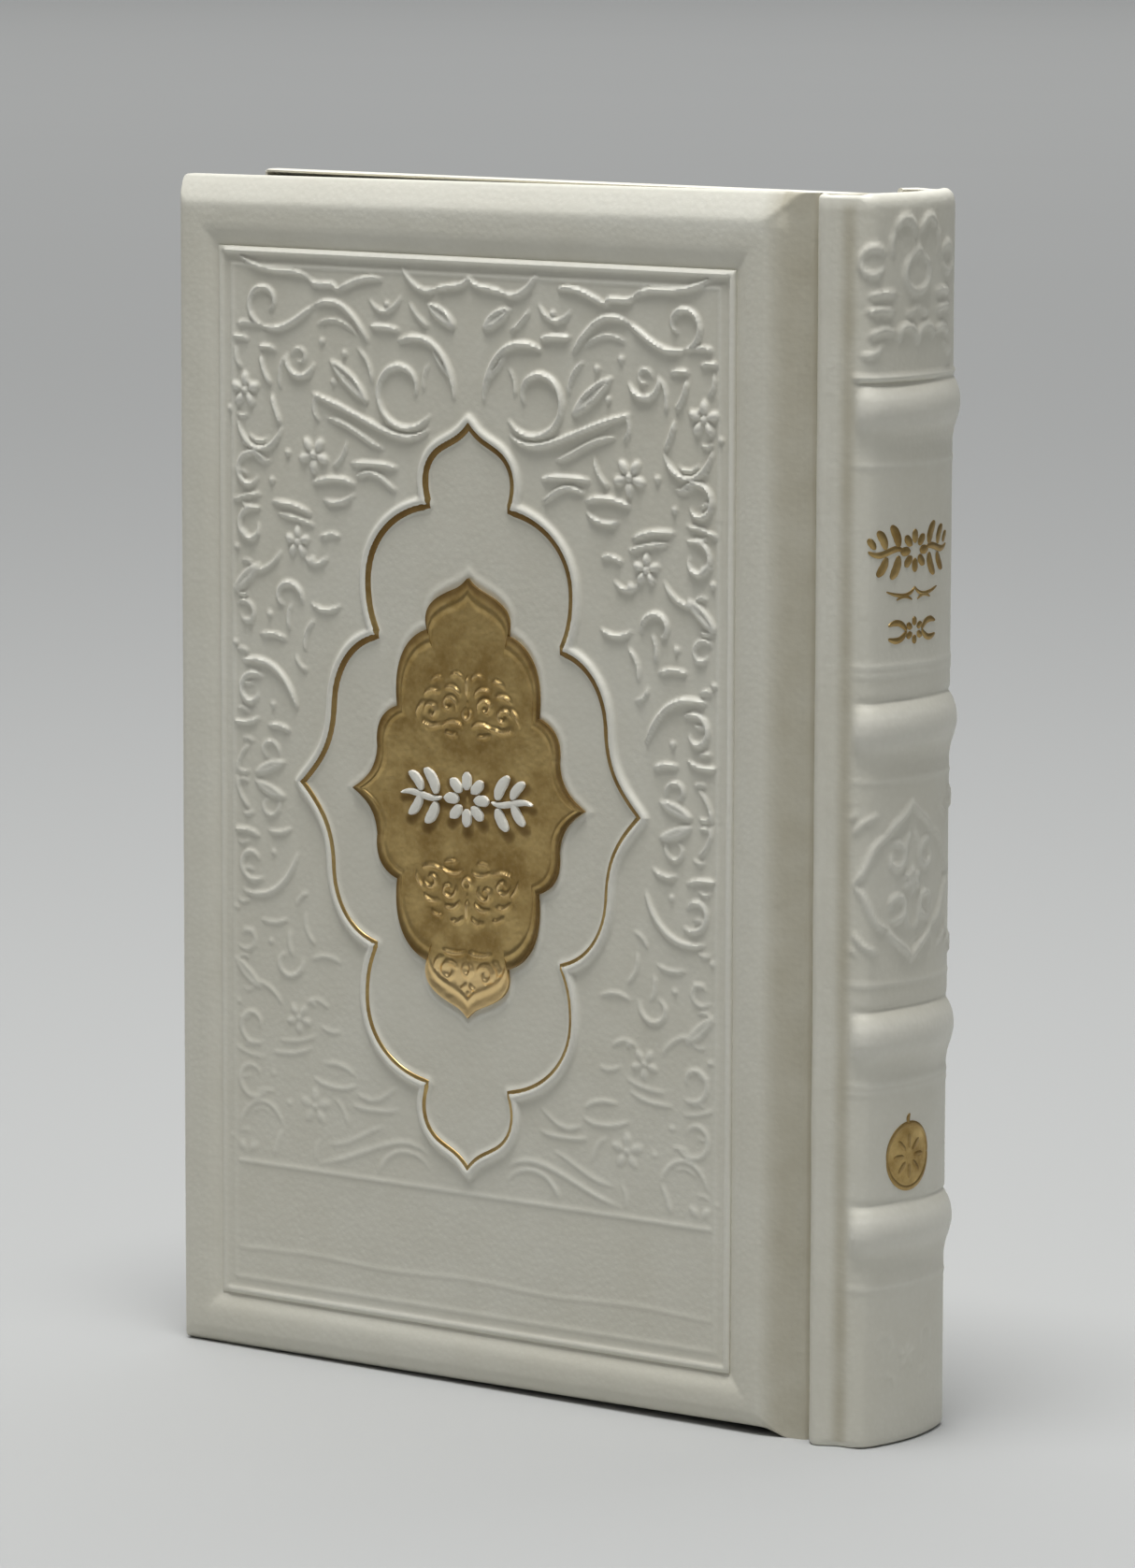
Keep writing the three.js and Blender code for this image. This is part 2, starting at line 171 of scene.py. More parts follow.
leatherLook = {
    "pale": "#E6E4D8", "warm": "#E0DDCF", "shadeAndGrain": "#BDB7A3", "paintedHighlight": "#EFEDE3",
    "roughness": 0.46, "grainMm": 0.9, "poreMm": 0.3, "cloudMm": 24, "blotchMm": 6,
}


# Coated calf, pressed in a heated plate: a shallow pebble with fine pores, a satin sheen that is
# a little uneven, uneven painted shade in the hollows and creases, and painted highlights on the crests of
# the relief.
def whiteLeather(look):
    material, tree, shader, place = startMaterial("coatedCalfPressed")
    clouds = noise(tree, place, look["cloudMm"], 2)
    blotch = noise(tree, place, look["blotchMm"], 3)
    base = mixColour(tree, scaled(tree, clouds, 0, 0.7, 0.35, 0.65), look["pale"], look["warm"])
    # Painted shade where the attribute is set (hollows of the relief, the joint, the fold and the border),
    # made uneven by blotches.
    unevenShade = maths(tree, painted(tree, "paintedShade"), scaled(tree, blotch, 0.74, 0.98, 0.3, 0.7), "MULTIPLY")
    base = mixColour(tree, unevenShade, base, look["shadeAndGrain"])
    # Painted highlight: the crests of the relief are made lighter.
    crestHighlight = painted(tree, "crestHighlight")
    base = mixColour(tree, crestHighlight, base, look["paintedHighlight"])
    cells = grainCells(tree, place, look["grainMm"], 0.9)
    pores = noise(tree, place, look["poreMm"], 2)
    creases = noise(tree, place, 3.5, 4, 0.6)
    shade = scaled(tree, cells, 0.0, 0.07, 0.15, 0.75)
    tree.links.new(mixColour(tree, shade, base, look["shadeAndGrain"]), shader.inputs["Base Color"])
    rough = maths(tree, scaled(tree, blotch, -0.06, 0.06), look["roughness"])
    tree.links.new(maths(tree, rough, scaled(tree, crestHighlight, 0, -0.06)), shader.inputs["Roughness"])
    shader.inputs["IOR"].default_value = 1.5
    under = bump(tree, shader, creases, 0.5, 0.12)
    under = bump(tree, shader, cells, 0.35, 0.09, under)
    bump(tree, shader, pores, 0.30, 0.04, under)
    return material


foilLook = {
    "bright": "#D6BA7E", "deep": "#AC8F57", "rubbed": "#D6BF8C", "tarnishedAndShaded": "#6B4F2A",
    "glintColour": "#FCDDA2", "roughness": 0.42, "grainMm": 0.9,
}


# Brass-coloured hot foil on leather: metal that takes up the grain below, duller where the stamp pressed
# unevenly, with tarnish, painted shade and painted highlights marked on each piece.
def goldFoil(look):
    material, tree, shader, place = startMaterial("brassHotFoil")
    patches = noise(tree, place, 5, 4, 0.6)
    fine = noise(tree, place, 0.7, 3)
    base = mixColour(tree, scaled(tree, patches, 0, 1, 0.35, 0.68), look["bright"], look["deep"])
    rubbed = scaled(tree, fine, 0, 0.35, 0.5, 0.8)
    base = mixColour(tree, rubbed, base, look["rubbed"])
    # Tarnish, and painted shade: the cartouche line's downward flank, the medallion's rim and the shadows
    # under the rosette's strokes.
    base = mixColour(tree, painted(tree, "tarnishAndShade"), base, look["tarnishedAndShaded"])
    # Painted highlight and reflection where a piece marks the foil bright.
    paintedGlint = painted(tree, "paintedGlint")
    tree.links.new(mixColour(tree, paintedGlint, base, look["glintColour"]), shader.inputs["Base Color"])
    shader.inputs["Metallic"].default_value = 1
    rough = scaled(tree, patches, look["roughness"] - 0.06, look["roughness"] + 0.16, 0.3, 0.7)
    tree.links.new(maths(tree, rough, scaled(tree, paintedGlint, 0, -0.09)), shader.inputs["Roughness"])
    cells = grainCells(tree, place, look["grainMm"])
    under = bump(tree, shader, cells, 0.5, 0.08)
    bump(tree, shader, fine, 0.4, 0.05, under)
    return material


pageLook = {"light": "#F1EDDF", "shadow": "#CFC8B2", "edge": "#E3DCC8", "leafMm": 0.16}


# Thin uncoated book paper seen at its cut edges: fine lines of leaves, a shade darker between them.
# Real leaves are 0.06 mm; they are drawn 0.16 mm apart so that they show.
def bookPaper(look):
    material, tree, shader, place = startMaterial("uncoatedBookPaper")
    wobble = noise(tree, place, 9, 3)
    across = maths(tree, axisOf(tree, place, "Y"), scaled(tree, wobble, -0.25 * mm, 0.25 * mm))
    lines = add(tree, "ShaderNodeTexNoise", {
        "W": maths(tree, across, 1000 / look["leafMm"], "MULTIPLY"), "Scale": 1.0, "Detail": 1.0,
    }, noise_dimensions="1D").outputs["Fac"]
    normal = add(tree, "ShaderNodeTexCoord").outputs["Normal"]
    facing = maths(tree, axisOf(tree, normal, "Y"), 0, "ABSOLUTE")
    lines = mixColour(tree, scaled(tree, facing, 0, 1, 0.75, 0.9), lines, (0.62, 0.62, 0.62, 1))
    base = mixColour(tree, scaled(tree, lines, 0, 1, 0.3, 0.7), look["shadow"], look["light"])
    tint = noise(tree, place, 30, 2)
    paint(tree, shader, mixColour(tree, scaled(tree, tint, 0, 0.4), base, look["edge"]), 0.85)
    bump(tree, shader, lines, 0.5, 0.06)
    return material


endpaperLook = {"white": "#F1EEE4", "cream": "#ECE8DC", "fibreMm": 0.5, "roughness": 0.78}


# Heavier wove endpaper: nearly white, with faint cloudy formation and short fibres.
def endpaper(look):
    material, tree, shader, place = startMaterial("woveEndpaper")
    cloud = noise(tree, place, 3, 5, 0.7)
    base = mixColour(tree, scaled(tree, cloud, 0, 1, 0.35, 0.65), look["white"], look["cream"])
    paint(tree, shader, base, look["roughness"])
    bump(tree, shader, noise(tree, place, look["fibreMm"], 4, 0.7), 0.3, 0.03)
    return material


boardLook = {"grey": "#8F8B80", "fleck": "#6F6A5E", "fibreMm": 0.6}


# Grey binder's board, pressed from waste paper: matt, with dark flecks and loose fibres.
def binderBoard(look):
    material, tree, shader, place = startMaterial("greyBinderBoard")
    flecks = noise(tree, place, look["fibreMm"] * 2, 5, 0.75)
    base = mixColour(tree, scaled(tree, flecks, 0, 1, 0.45, 0.7), look["grey"], look["fleck"])
    paint(tree, shader, base, 0.92)
    bump(tree, shader, noise(tree, place, look["fibreMm"], 4, 0.7), 0.5, 0.08)
    return material


foamLook = {"white": "#EDEBE3", "shade": "#D8D4C6", "cellMm": 0.8}


# Open-cell padding foam: pale, with small round cells.
def paddingFoam(look):
    material, tree, shader, place = startMaterial("openCellFoam")
    cells = add(tree, "ShaderNodeTexVoronoi", {
        "Vector": place, "Scale": 1000 / look["cellMm"]}).outputs["Distance"]
    base = mixColour(tree, scaled(tree, cells, 0, 1, 0.1, 0.7), look["shade"], look["white"])
    paint(tree, shader, base, 0.95)
    bump(tree, shader, cells, 0.8, 0.3)
    return material


# A sine along one direction, for threads laid side by side.
def threads(tree, across, sizeMm):
    return maths(tree, maths(tree, across, 2 * math.pi * 1000 / sizeMm, "MULTIPLY"), 0, "SINE")


clothLook = {"thread": "#E6E0CF", "gap": "#B9B29E", "threadMm": 0.7}


# Open starched cotton, plain woven: a grid of threads, darker between them.
def mullCloth(look):
    material, tree, shader, place = startMaterial("starchedCottonMull")
    weave = maths(tree, threads(tree, axisOf(tree, place, "Y"), look["threadMm"]),
                  threads(tree, axisOf(tree, place, "Z"), look["threadMm"]), "MAXIMUM")
    base = mixColour(tree, scaled(tree, weave, 0, 1, -0.6, 0.4), look["gap"], look["thread"])
    paint(tree, shader, base, 0.95)
    bump(tree, shader, weave, 0.8, 0.15)
    return material


headbandLook = {"cream": "#EFE8D2", "gold": "#B99546", "stripeMm": 2.0, "threadMm": 0.35}


# Silk wound over a core: cream and old gold stripes made of fine turns, with a soft sheen.
def woundSilk(look):
    material, tree, shader, place = startMaterial("woundSilkThread")
    across = axisOf(tree, place, "Y")
    stripes = threads(tree, across, look["stripeMm"])
    base = mixColour(tree, scaled(tree, stripes, 0, 1, -0.15, 0.15), look["cream"], look["gold"])
    paint(tree, shader, base, 0.5)
    shader.inputs["Sheen Weight"].default_value = 0.3
    bump(tree, shader, threads(tree, across, look["threadMm"]), 0.7, 0.1)
    return material


leather = whiteLeather(leatherLook)
foil = goldFoil(foilLook)
paper = bookPaper(pageLook)
endSheet = endpaper(endpaperLook)
board = binderBoard(boardLook)
foam = paddingFoam(foamLook)
cloth = mullCloth(clothLook)
silk = woundSilk(headbandLook)
slotMaterials = {
    "white_leather": leather, "gold_foil": foil, "page_paper": paper, "endpaper": endSheet,
    "cover_board": board, "foam_padding": foam, "binding_cloth": cloth, "headband_thread": silk,
}
print("materials made")


# Shapes are worked out in mm from the fore edge, and placed in metres.
def finishMesh(name, points, faces, material, sharp=40, fields=None):
    points = np.asarray(points, float)
    triangles = np.array([[f[0], f[k], f[k + 1]] for f in faces for k in range(1, len(f) - 1)])
    a, b, c = (points[triangles[:, k]] for k in range(3))
    if np.einsum("ij,ij->i", a, np.cross(b, c)).sum() < 0:
        faces = [f[::-1] for f in faces]
    placed = points * mm + np.array([foreEdge, 0, 0])
    mesh = bpy.data.meshes.new(name)
    mesh.from_pydata(placed.tolist(), [], faces)
    mesh.validate()
    mesh.polygons.foreach_set("use_smooth", [True] * len(mesh.polygons))
    mesh.set_sharp_from_angle(angle=math.radians(sharp))
    for key, values in (fields or {}).items():
        layer = mesh.attributes.new(key, "FLOAT", "POINT")
        layer.data.foreach_set("value", np.asarray(values, np.float32))
    piece = bpy.data.objects.new(name, mesh)
    bpy.context.scene.collection.objects.link(piece)
    mesh.materials.append(material)
    return piece


def quads(rows, columns, start=0, wrapRows=False, wrapColumns=False):
    i, j = np.meshgrid(np.arange(rows if wrapRows else rows - 1),
                       np.arange(columns if wrapColumns else columns - 1), indexing="ij")
    n, m = (i + 1) % rows, (j + 1) % columns
    cells = np.stack([i * columns + j, i * columns + m, n * columns + m, n * columns + j], -1)
    return (cells.reshape(-1, 4) + start).tolist()


# Rows that close round on themselves, with a cap at each end.
def tubeFaces(rows, columns, start=0):
    first = [start + i * columns for i in range(rows)]
    last = [k + columns - 1 for k in first]
    return quads(rows, columns, start, wrapRows=True) + [first[::-1], last]


# Values for the first points of a mesh, and zero for the rest.
def filled(values, count):
    return np.concatenate([values.reshape(-1), np.zeros(count - values.size)])


def normalsOf(grid):
    du = np.gradient(grid, axis=0)
    dv = np.gradient(grid, axis=1)
    n = np.cross(du, dv)
    return n / np.maximum(np.linalg.norm(n, axis=-1, keepdims=True), 1e-9)


def rim(rows, columns):
    top = list(range(columns))
    right = [i * columns + columns - 1 for i in range(1, rows)]
    bottom = [(rows - 1) * columns + j for j in range(columns - 2, -1, -1)]
    left = [i * columns for i in range(rows - 2, 0, -1)]
    return top + right + bottom + left


# A sheet with thickness: the outer grid, its copy moved in along the normals, and the edge between.
def sheetSolid(outer, thickness):
    rows, columns = outer.shape[:2]
    inner = outer + normalsOf(outer) * thickness
    count = rows * columns
    points = np.concatenate([outer.reshape(-1, 3), inner.reshape(-1, 3)])
    faces = quads(rows, columns) + [f[::-1] for f in quads(rows, columns, count)]
    edge = rim(rows, columns)
    for a, b in zip(edge, edge[1:] + edge[:1]):
        faces.append([b, a, a + count, b + count])
    return points, faces


# A fine face on a flat back: side walls and one fan behind.
def slabSolid(outer, backY):
    rows, columns = outer.shape[:2]
    count = rows * columns
    edge = rim(rows, columns)
    flat = outer.reshape(-1, 3)
    back = flat[edge].copy()
    back[:, 1] = backY
    points = np.concatenate([flat, back, back.mean(0, keepdims=True)])
    faces = quads(rows, columns)
    ring = np.arange(len(edge)) + count
    for k, a in enumerate(edge):
        n = (k + 1) % len(edge)
        faces.append([edge[n], a, int(ring[k]), int(ring[n])])
        faces.append([int(ring[n]), int(ring[k]), len(points) - 1])
    return points, faces


def curve(*corners, steps=24):
    t = np.linspace(0, 1, steps)[:, None]
    p = [np.asarray(c, float) for c in corners]
    if len(p) == 2:
        return p[0] * (1 - t) + p[1] * t
    if len(p) == 3:
        return p[0] * (1 - t) ** 2 + 2 * p[1] * t * (1 - t) + p[2] * t ** 2
    return (p[0] * (1 - t) ** 3 + 3 * p[1] * t * (1 - t) ** 2 + 3 * p[2] * t ** 2 * (1 - t)
            + p[3] * t ** 3)


def curl(centre, fromRadius, toRadius, fromDegrees, toDegrees, steps=48):
    angle = np.radians(np.linspace(fromDegrees, toDegrees, steps))
    radius = np.linspace(fromRadius, toRadius, steps)
    return np.stack([centre[0] + radius * np.cos(angle), centre[1] + radius * np.sin(angle)], -1)


def smoothStep(x, low, high):
    t = np.clip((np.asarray(x, float) - low) / (high - low), 0, 1)
    return t * t * (3 - 2 * t)


def bell(x, middle, width):
    return np.exp(-((x - middle) / width) ** 2)


# mm in from the nearest side of a frame
def inset(s, z, left, right, bottom, top):
    return np.minimum(np.minimum(s - left, right - s), np.minimum(z - bottom, top - z))


# Relief is worked out on a fine map of heights in mm, then read wherever a face needs it.
def newRelief(left, right, bottom, top, step=0.15):
    shape = (int((right - left) / step) + 2, int((top - bottom) / step) + 2)
    return {"left": left, "bottom": bottom, "step": step, "height": np.zeros(shape)}


finestRadius = 0.18                           # mm, so that a thin end still shows on the map


def press(relief, points, width, height, taper=0.2, blunt=0.25):
    points = np.asarray(points, float)
    step = relief["step"]
    length = np.concatenate([[0], np.cumsum(np.linalg.norm(np.diff(points, axis=0), axis=1))])
    count = max(int(length[-1] / (step * 0.8)), 2)
    at = np.linspace(0, length[-1], count)
    line = np.stack([np.interp(at, length, points[:, k]) for k in (0, 1)], -1)
    share = np.linspace(0, 1, count)
    if taper > 0:
        ends = np.clip(np.minimum(share, 1 - share) / taper, 0, 1)
    else:
        ends = np.ones(count)
    ends = blunt + (1 - blunt) * np.sqrt(ends)
    field = relief["height"]
    for (x, y), e in zip(line, ends):
        radius = max(width / 2 * e, finestRadius)
        i0 = max(int((x - radius - relief["left"]) / step), 0)
        i1 = min(int((x + radius - relief["left"]) / step) + 2, field.shape[0])
        j0 = max(int((y - radius - relief["bottom"]) / step), 0)
        j1 = min(int((y + radius - relief["bottom"]) / step) + 2, field.shape[1])
        if i0 >= i1 or j0 >= j1:
            continue
        gx = relief["left"] + step * np.arange(i0, i1)[:, None] - x
        gy = relief["bottom"] + step * np.arange(j0, j1)[None, :] - y
        d = (gx * gx + gy * gy) / (radius * radius)
        dome = height * (0.4 + 0.6 * e) * np.sqrt(np.clip(1 - d, 0, 1))
        part = field[i0:i1, j0:j1]
        np.maximum(part, dome, out=part)


def soften(relief, times=1):
    for _ in range(times):
        h = np.pad(relief["height"], 1, mode="edge")
        relief["height"] = (h[1:-1, 1:-1] * 4 + h[:-2, 1:-1] + h[2:, 1:-1] + h[1:-1, :-2]
                            + h[1:-1, 2:]) / 8


def read(relief, x, y):
    u = np.clip((np.asarray(x) - relief["left"]) / relief["step"], 0, relief["height"].shape[0] - 1.001)
    v = np.clip((np.asarray(y) - relief["bottom"]) / relief["step"], 0, relief["height"].shape[1] - 1.001)
    i, j = u.astype(int), v.astype(int)
    fu, fv = u - i, v - j
    h = relief["height"]
    return (h[i, j] * (1 - fu) * (1 - fv) + h[i + 1, j] * fu * (1 - fv) + h[i, j + 1] * (1 - fu) * fv
            + h[i + 1, j + 1] * fu * fv)


def flower(relief, centre, radius, petals=5, height=0.35, turn=90):
    for k in range(petals):
        a = math.radians(turn + 360 * k / petals)
        outer = (centre[0] + radius * math.cos(a), centre[1] + radius * math.sin(a))
        inner = (centre[0] + radius * 0.45 * math.cos(a), centre[1] + radius * 0.45 * math.sin(a))
        press(relief, [inner, outer], radius * 0.62, height, 0.5, 0.6)
    press(relief, [centre, (centre[0] + 0.05, centre[1])], radius * 0.5, height * 1.2, 0, 1)


def leaf(relief, base, tip, bulge, height=0.35, width=0.7):
    base, tip = np.array(base, float), np.array(tip, float)
    side = np.array([-(tip - base)[1], (tip - base)[0]]) * bulge
    middle = (base + tip) / 2
    press(relief, curve(base, middle + side, tip), width, height)
    press(relief, curve(base, middle - side * 0.6, tip), width, height)
    press(relief, curve(base, middle + side * 0.15, base + (tip - base) * 0.8), width * 0.6, height * 0.7)


# The cover's scrollwork, drawn for one quarter of the panel in mm from the cartouche's middle.
coverArt = {
    "centre": (53.5, 86.6),                       # mm from the fore edge and from the tail
    "panel": (7.3, 100.0, 8.1, 164.9),
    "lineWidth": 0.8, "lineHeight": 0.66,
    "frameHeight": 0.62, "cartoucheHeight": 0.62,
    "blankBand": (15.5, 28.5),
}
cartoucheQuarter = [
    [(0, 54.6), (1.8, 52.4), (3, 52.2), (4.6, 51.3)],
    [(4.6, 51.3), (8.2, 49.6), (9, 46), (7.5, 42.4)],
    [(7.5, 42.4), (13.4, 41.6), (18.8, 37.2), (18.7, 30.4)],
    [(18.7, 30.4), (18.7, 27.2), (18, 25), (16.9, 22.8)],
    [(16.9, 22.8), (21.4, 21.8), (24.6, 17.8), (24.9, 12.4)],
    [(24.9, 12.4), (25.1, 6.6), (26.8, 4), (30.8, 0)],
]
medallionQuarter = [
    [(0, 32.6), (1.4, 31), (2.6, 30.9), (4, 30.2)],
    [(4, 30.2), (7.2, 28.8), (8.2, 27), (7.4, 24.6)],
    [(7.4, 24.6), (11.2, 23.4), (13.8, 19.6), (12.9, 12.9)],
    [(12.9, 12.9), (16, 11.9), (17, 9.4), (16.6, 6.6)],
    [(16.6, 6.6), (16.8, 3.4), (18.4, 1.6), (21.3, 0)],
]


def quarterLine(quarter, steps=24):
    return np.concatenate([curve(*c, steps=steps)[:-1] for c in quarter] + [[quarter[-1][3]]])


def wholeOutline(quarter, steps=16):
    right = quarterLine(quarter, steps)
    lower = right[-2::-1] * (1, -1)
    half = np.concatenate([right, lower])
    left = half[-2:0:-1] * (-1, 1)
    return np.concatenate([half, left])


def inwardNormals(outline):
    along = np.roll(outline, -1, axis=0) - np.roll(outline, 1, axis=0)
    along /= np.linalg.norm(along, axis=1, keepdims=True)
    return np.stack([along[:, 1], -along[:, 0]], -1)


def drawScrolls(art):
    r = newRelief(0, 47, 0, 80)
    w, h = art["lineWidth"], art["lineHeight"]

    def line(*corners, k=1.0):
        press(r, curve(*corners), w * k, h * k)

    def scroll(centre, r0, r1, a0, a1, k=1.0):
        press(r, curl(centre, r0, r1, a0, a1), w * k, h * k)

    # wavy brackets along the head
    line((0, 75.6), (0.6, 73.6), (3.4, 74.4), (6.2, 73.4))
    line((5.8, 73.5), (8.4, 72.6), (10.2, 73.6), (12.0, 76.2))
    line((15.8, 74.4), (19, 75.2), (21.5, 73.6), (24.0, 72.6))
    line((24.0, 72.4), (24.8, 74.6), (27.2, 72.2), (29.2, 74.0))
    line((29.0, 73.8), (31.4, 76.2), (36.4, 73.6), (42.2, 76.9))
    # long S with its hook, and the leaf beside it
    line((18.4, 65.4), (21.4, 70.2), (24.6, 72.2), (28.4, 70.0))
    line((28.2, 70.1), (31.2, 68.4), (33.8, 65.8), (37.6, 66.7))
    scroll((37.4, 70.2), 3.5, 1.3, -85, 235)
    line((20.6, 66.4), (22.4, 68.2), (25.2, 68.9), (27.6, 67.4), k=0.7)
    line((12.8, 67.2), (15, 67.9), (17.8, 67.6))
    line((12.4, 72.0), (13.8, 69.4), (16.6, 69.2), (18.0, 71.4), k=0.8)
    leaf(r, (2.6, 68.2), (7.4, 71.2), 0.28, h)
    line((7.4, 68.0), (9.2, 69.0), (10.8, 71.2), k=0.8)
    # the great scroll beside the tip
    line((2.6, 57.8), (3.0, 64.0), (7.4, 68.2), (12.8, 65.6), k=1.1)
    scroll((12.0, 58.6), 6.0, 2.2, 215, 560, k=1.1)
    line((3.0, 60.8), (5.2, 62.2), (6.4, 64.6), k=0.8)
    line((7.2, 62.6), (8.6, 61.0), (8.2, 58.8), k=0.7)
    # long leaves running out to the side
    line((7.4, 53.0), (13.0, 49.6), (18.6, 55.0), (28.6, 57.2), k=1.1)
    line((15.6, 50.0), (18.4, 50.6), (21.6, 53.6), (25.8, 53.8), k=0.9)
    leaf(r, (18.4, 56.6), (25.2, 62.2), 0.2, h)
    line((27.6, 57.4), (29.2, 55.2), (27.4, 53.4), k=0.8)
    line((17.6, 59.4), (17.8, 62.6), (20.2, 64.2), k=0.8)
    scroll((31.2, 62.4), 3.0, 2.2, 195, 370)
    scroll((31.0, 62.6), 1.3, 0.8, 0, 300, k=0.7)
    # climbing stem with its flower in the upper corner
    line((34.6, 52.6), (35.6, 54.4), (36.2, 56.6))
    line((36.4, 58.4), (37.8, 59.6), (38.2, 62.4))
    line((35.4, 63.2), (36.6, 64.2), (38.6, 63.6), k=0.8)
    line((42.0, 60.6), (43.2, 61.6), (42.8, 63.6), k=0.8)
    line((40.6, 64.6), (42.0, 65.4), (43.6, 64.8), k=0.8)
    line((39.4, 66.9), (41.2, 67.5), (42.6, 66.8), k=0.8)
    flower(r, (41.2, 57.2), 2.3, 5, h)
    line((34.4, 52.0), (36.2, 47.4), (41.2, 47.6), (42.6, 52.6))
    line((37.0, 50.2), (38.8, 49.2), (40.4, 50.6), k=0.7)
    line((33.8, 62.4), (35.2, 60.4), (34.6, 57.8), k=0.8)
    # row of flowers and arcs at the first cusp
    flower(r, (28.4, 48.4), 2.4, 5, h, 54)
    line((22.2, 50.6), (22.8, 47.8), (24.8, 46.8), k=0.8)
    line((13.0, 47.2), (16.6, 48.2), (21.4, 47.4))
    line((13.2, 43.9), (15.8, 45.6), (17.0, 47.2), (20.4, 45.6), k=0.9)
    line((20.8, 44.4), (23.8, 46.0), (28.6, 44.2))
    line((21.0, 42.9), (22.6, 41.6), (24.2, 41.4), (26.6, 41.8), k=0.9)
    scroll((40.2, 45.2), 3.3, 1.4, 150, -150)
    line((36.4, 47.0), (38.2, 46.6), (39.4, 47.6), k=0.7)
    # down the side: leaves, curls and a small flower
    line((29.0, 39.6), (31.8, 41.2), (36.2, 41.0), k=0.9)
    line((28.4, 37.9), (31.6, 39.2), (35.0, 39.2), k=0.8)
    line((38.4, 42.0), (41.0, 42.0), (43.8, 40.6), k=0.8)
    scroll((40.0, 37.2), 3.0, 1.1, 120, -200)
    flower(r, (31.4, 35.4), 2.0, 5, h, 18)
    line((23.6, 36.6), (25.2, 37.4), (27.2, 36.2), k=0.8)
    line((25.8, 33.4), (28.2, 31.4), (30.0, 33.2), k=0.8)
    line((34.6, 33.8), (36.0, 31.0), (39.6, 30.6), k=0.8)
    scroll((33.4, 27.0), 2.9, 1.2, 190, -60)
    line((32.4, 26.2), (33.6, 24.8), (33.0, 22.4), k=0.8)
    leaf(r, (38.6, 31.6), (43.4, 27.4), 0.22, h * 0.9)
    line((23.6, 26.4), (26.2, 25.0), (28.8, 26.4), k=0.8)
    scroll((41.2, 24.2), 2.0, 0.9, 40, 330, k=0.8)
    line((28.4, 24.0), (30.6, 22.0), (30.0, 19.6), k=0.8)
    line((31.6, 10.8), (33.0, 15.0), (36.2, 18.6), (41.8, 17.2), k=1.1)
    line((33.6, 20.8), (35.6, 22.0), (38.4, 21.2), k=0.8)
    scroll((40.0, 12.8), 2.9, 1.1, 130, -160)
    line((29.6, 16.6), (31.2, 16.8), (31.8, 18.6), k=0.7)
    line((32.8, 7.2), (34.6, 8.4), (37.0, 7.8), k=0.9)
    line((38.8, 8.8), (41.0, 7.6), (43.6, 8.2), k=0.9)
    scroll((36.8, 4.0), 1.9, 0.9, 200, -60, k=0.8)
    leaf(r, (34.0, 2.6), (39.4, 0.6), 0.2, h * 0.9)
    line((40.8, 4.6), (42.6, 3.2), (43.0, 0.4), k=0.8)
    for k, level in enumerate(np.arange(0.8, 62, 4.4)):
        side = 41.9 - 0.9 * (k % 2)
        bend = 0.9 - 1.5 * (k % 3 == 0)
        line((side - 1.1, level), (side, level + bend), (side + 0.8, level + 0.2), k=0.7)
    for spot in ((14.8, 70.9), (22.6, 63.4), (26.8, 65.0), (33.2, 48.4), (24.6, 59.2), (36.2, 44.2),
                 (44.0, 54.4), (28.6, 33.0), (42.8, 34.0), (36.6, 24.4), (43.2, 19.8), (36.0, 11.0)):
        press(r, [spot, (spot[0] + 0.1, spot[1])], 0.9, h * 0.8, 0, 1)
    soften(r, 1)
    return r


def drawOutlineRidges(art):
    r = newRelief(0, 47, 0, 80)
    edge = wholeOutline(cartoucheQuarter, 24)
    inward = inwardNormals(edge)
    for across, width, height in ((-0.5, 1.15, art["cartoucheHeight"]), (-0.15, 2.3, 0.28)):
        line = edge + inward * across
        press(r, line[(line[:, 0] >= 0) & (line[:, 1] >= 0)], width, height, 0)
    press(r, quarterLine(medallionQuarter) * 1.02, 1.1, 0.14, 0)
    soften(r, 2)
    return r


scrolls = drawScrolls(coverArt)
ridges = drawOutlineRidges(coverArt)


def insideOutline(outline, x, y):
    inside = np.zeros(np.shape(x), bool)
    for (x0, y0), (x1, y1) in zip(outline, np.roll(outline, -1, axis=0)):
        if y0 == y1:
            continue
        crosses = (y0 > y) != (y1 > y)
        inside ^= crosses & (x < (x1 - x0) * (y - y0) / (y1 - y0) + x0)
    return inside


cartouche = wholeOutline(cartoucheQuarter)


# Height of the pressed front panel over its ground, in mm, at mm from the fore edge and tail.
def panelRelief(s, z):
    x, y = s - coverArt["centre"][0], z - coverArt["centre"][1]
    ax, ay = np.abs(x), np.abs(y)
    work = np.where(insideOutline(cartouche, x, y), 0, read(scrolls, ax, ay))
    bandLow, bandHigh = coverArt["blankBand"]
    work *= smoothStep(z, bandHigh + 0.8, bandHigh + 2.4) * (0.25 + 0.75 * smoothStep(z, 28, 115))
    work *= 0.8 + 0.2 * smoothStep(x, -20, 20)
    toFrame = inset(s, z, *coverArt["panel"])
    fromLeft = s - coverArt["panel"][0]
    depth = (0.5 + 0.5 * smoothStep(z, 20, 150)) * (0.45 + 0.55 * smoothStep(fromLeft, 0.9, 1.8))
    within = smoothStep(toFrame, 3.0, 3.6)
    wave = bandLow + 0.25 * np.cos(x * 0.21)
    for ridge in (coverArt["frameHeight"] * depth * bell(toFrame, 0.6, 0.4),
                  0.2 * depth * bell(toFrame, 2.7, 0.3),
                  0.15 * within * bell(z, bandHigh, 0.3),
                  0.08 * within * bell(z, wave, 0.32),
                  read(ridges, ax, ay)):
        work = np.maximum(work, ridge)
    return work


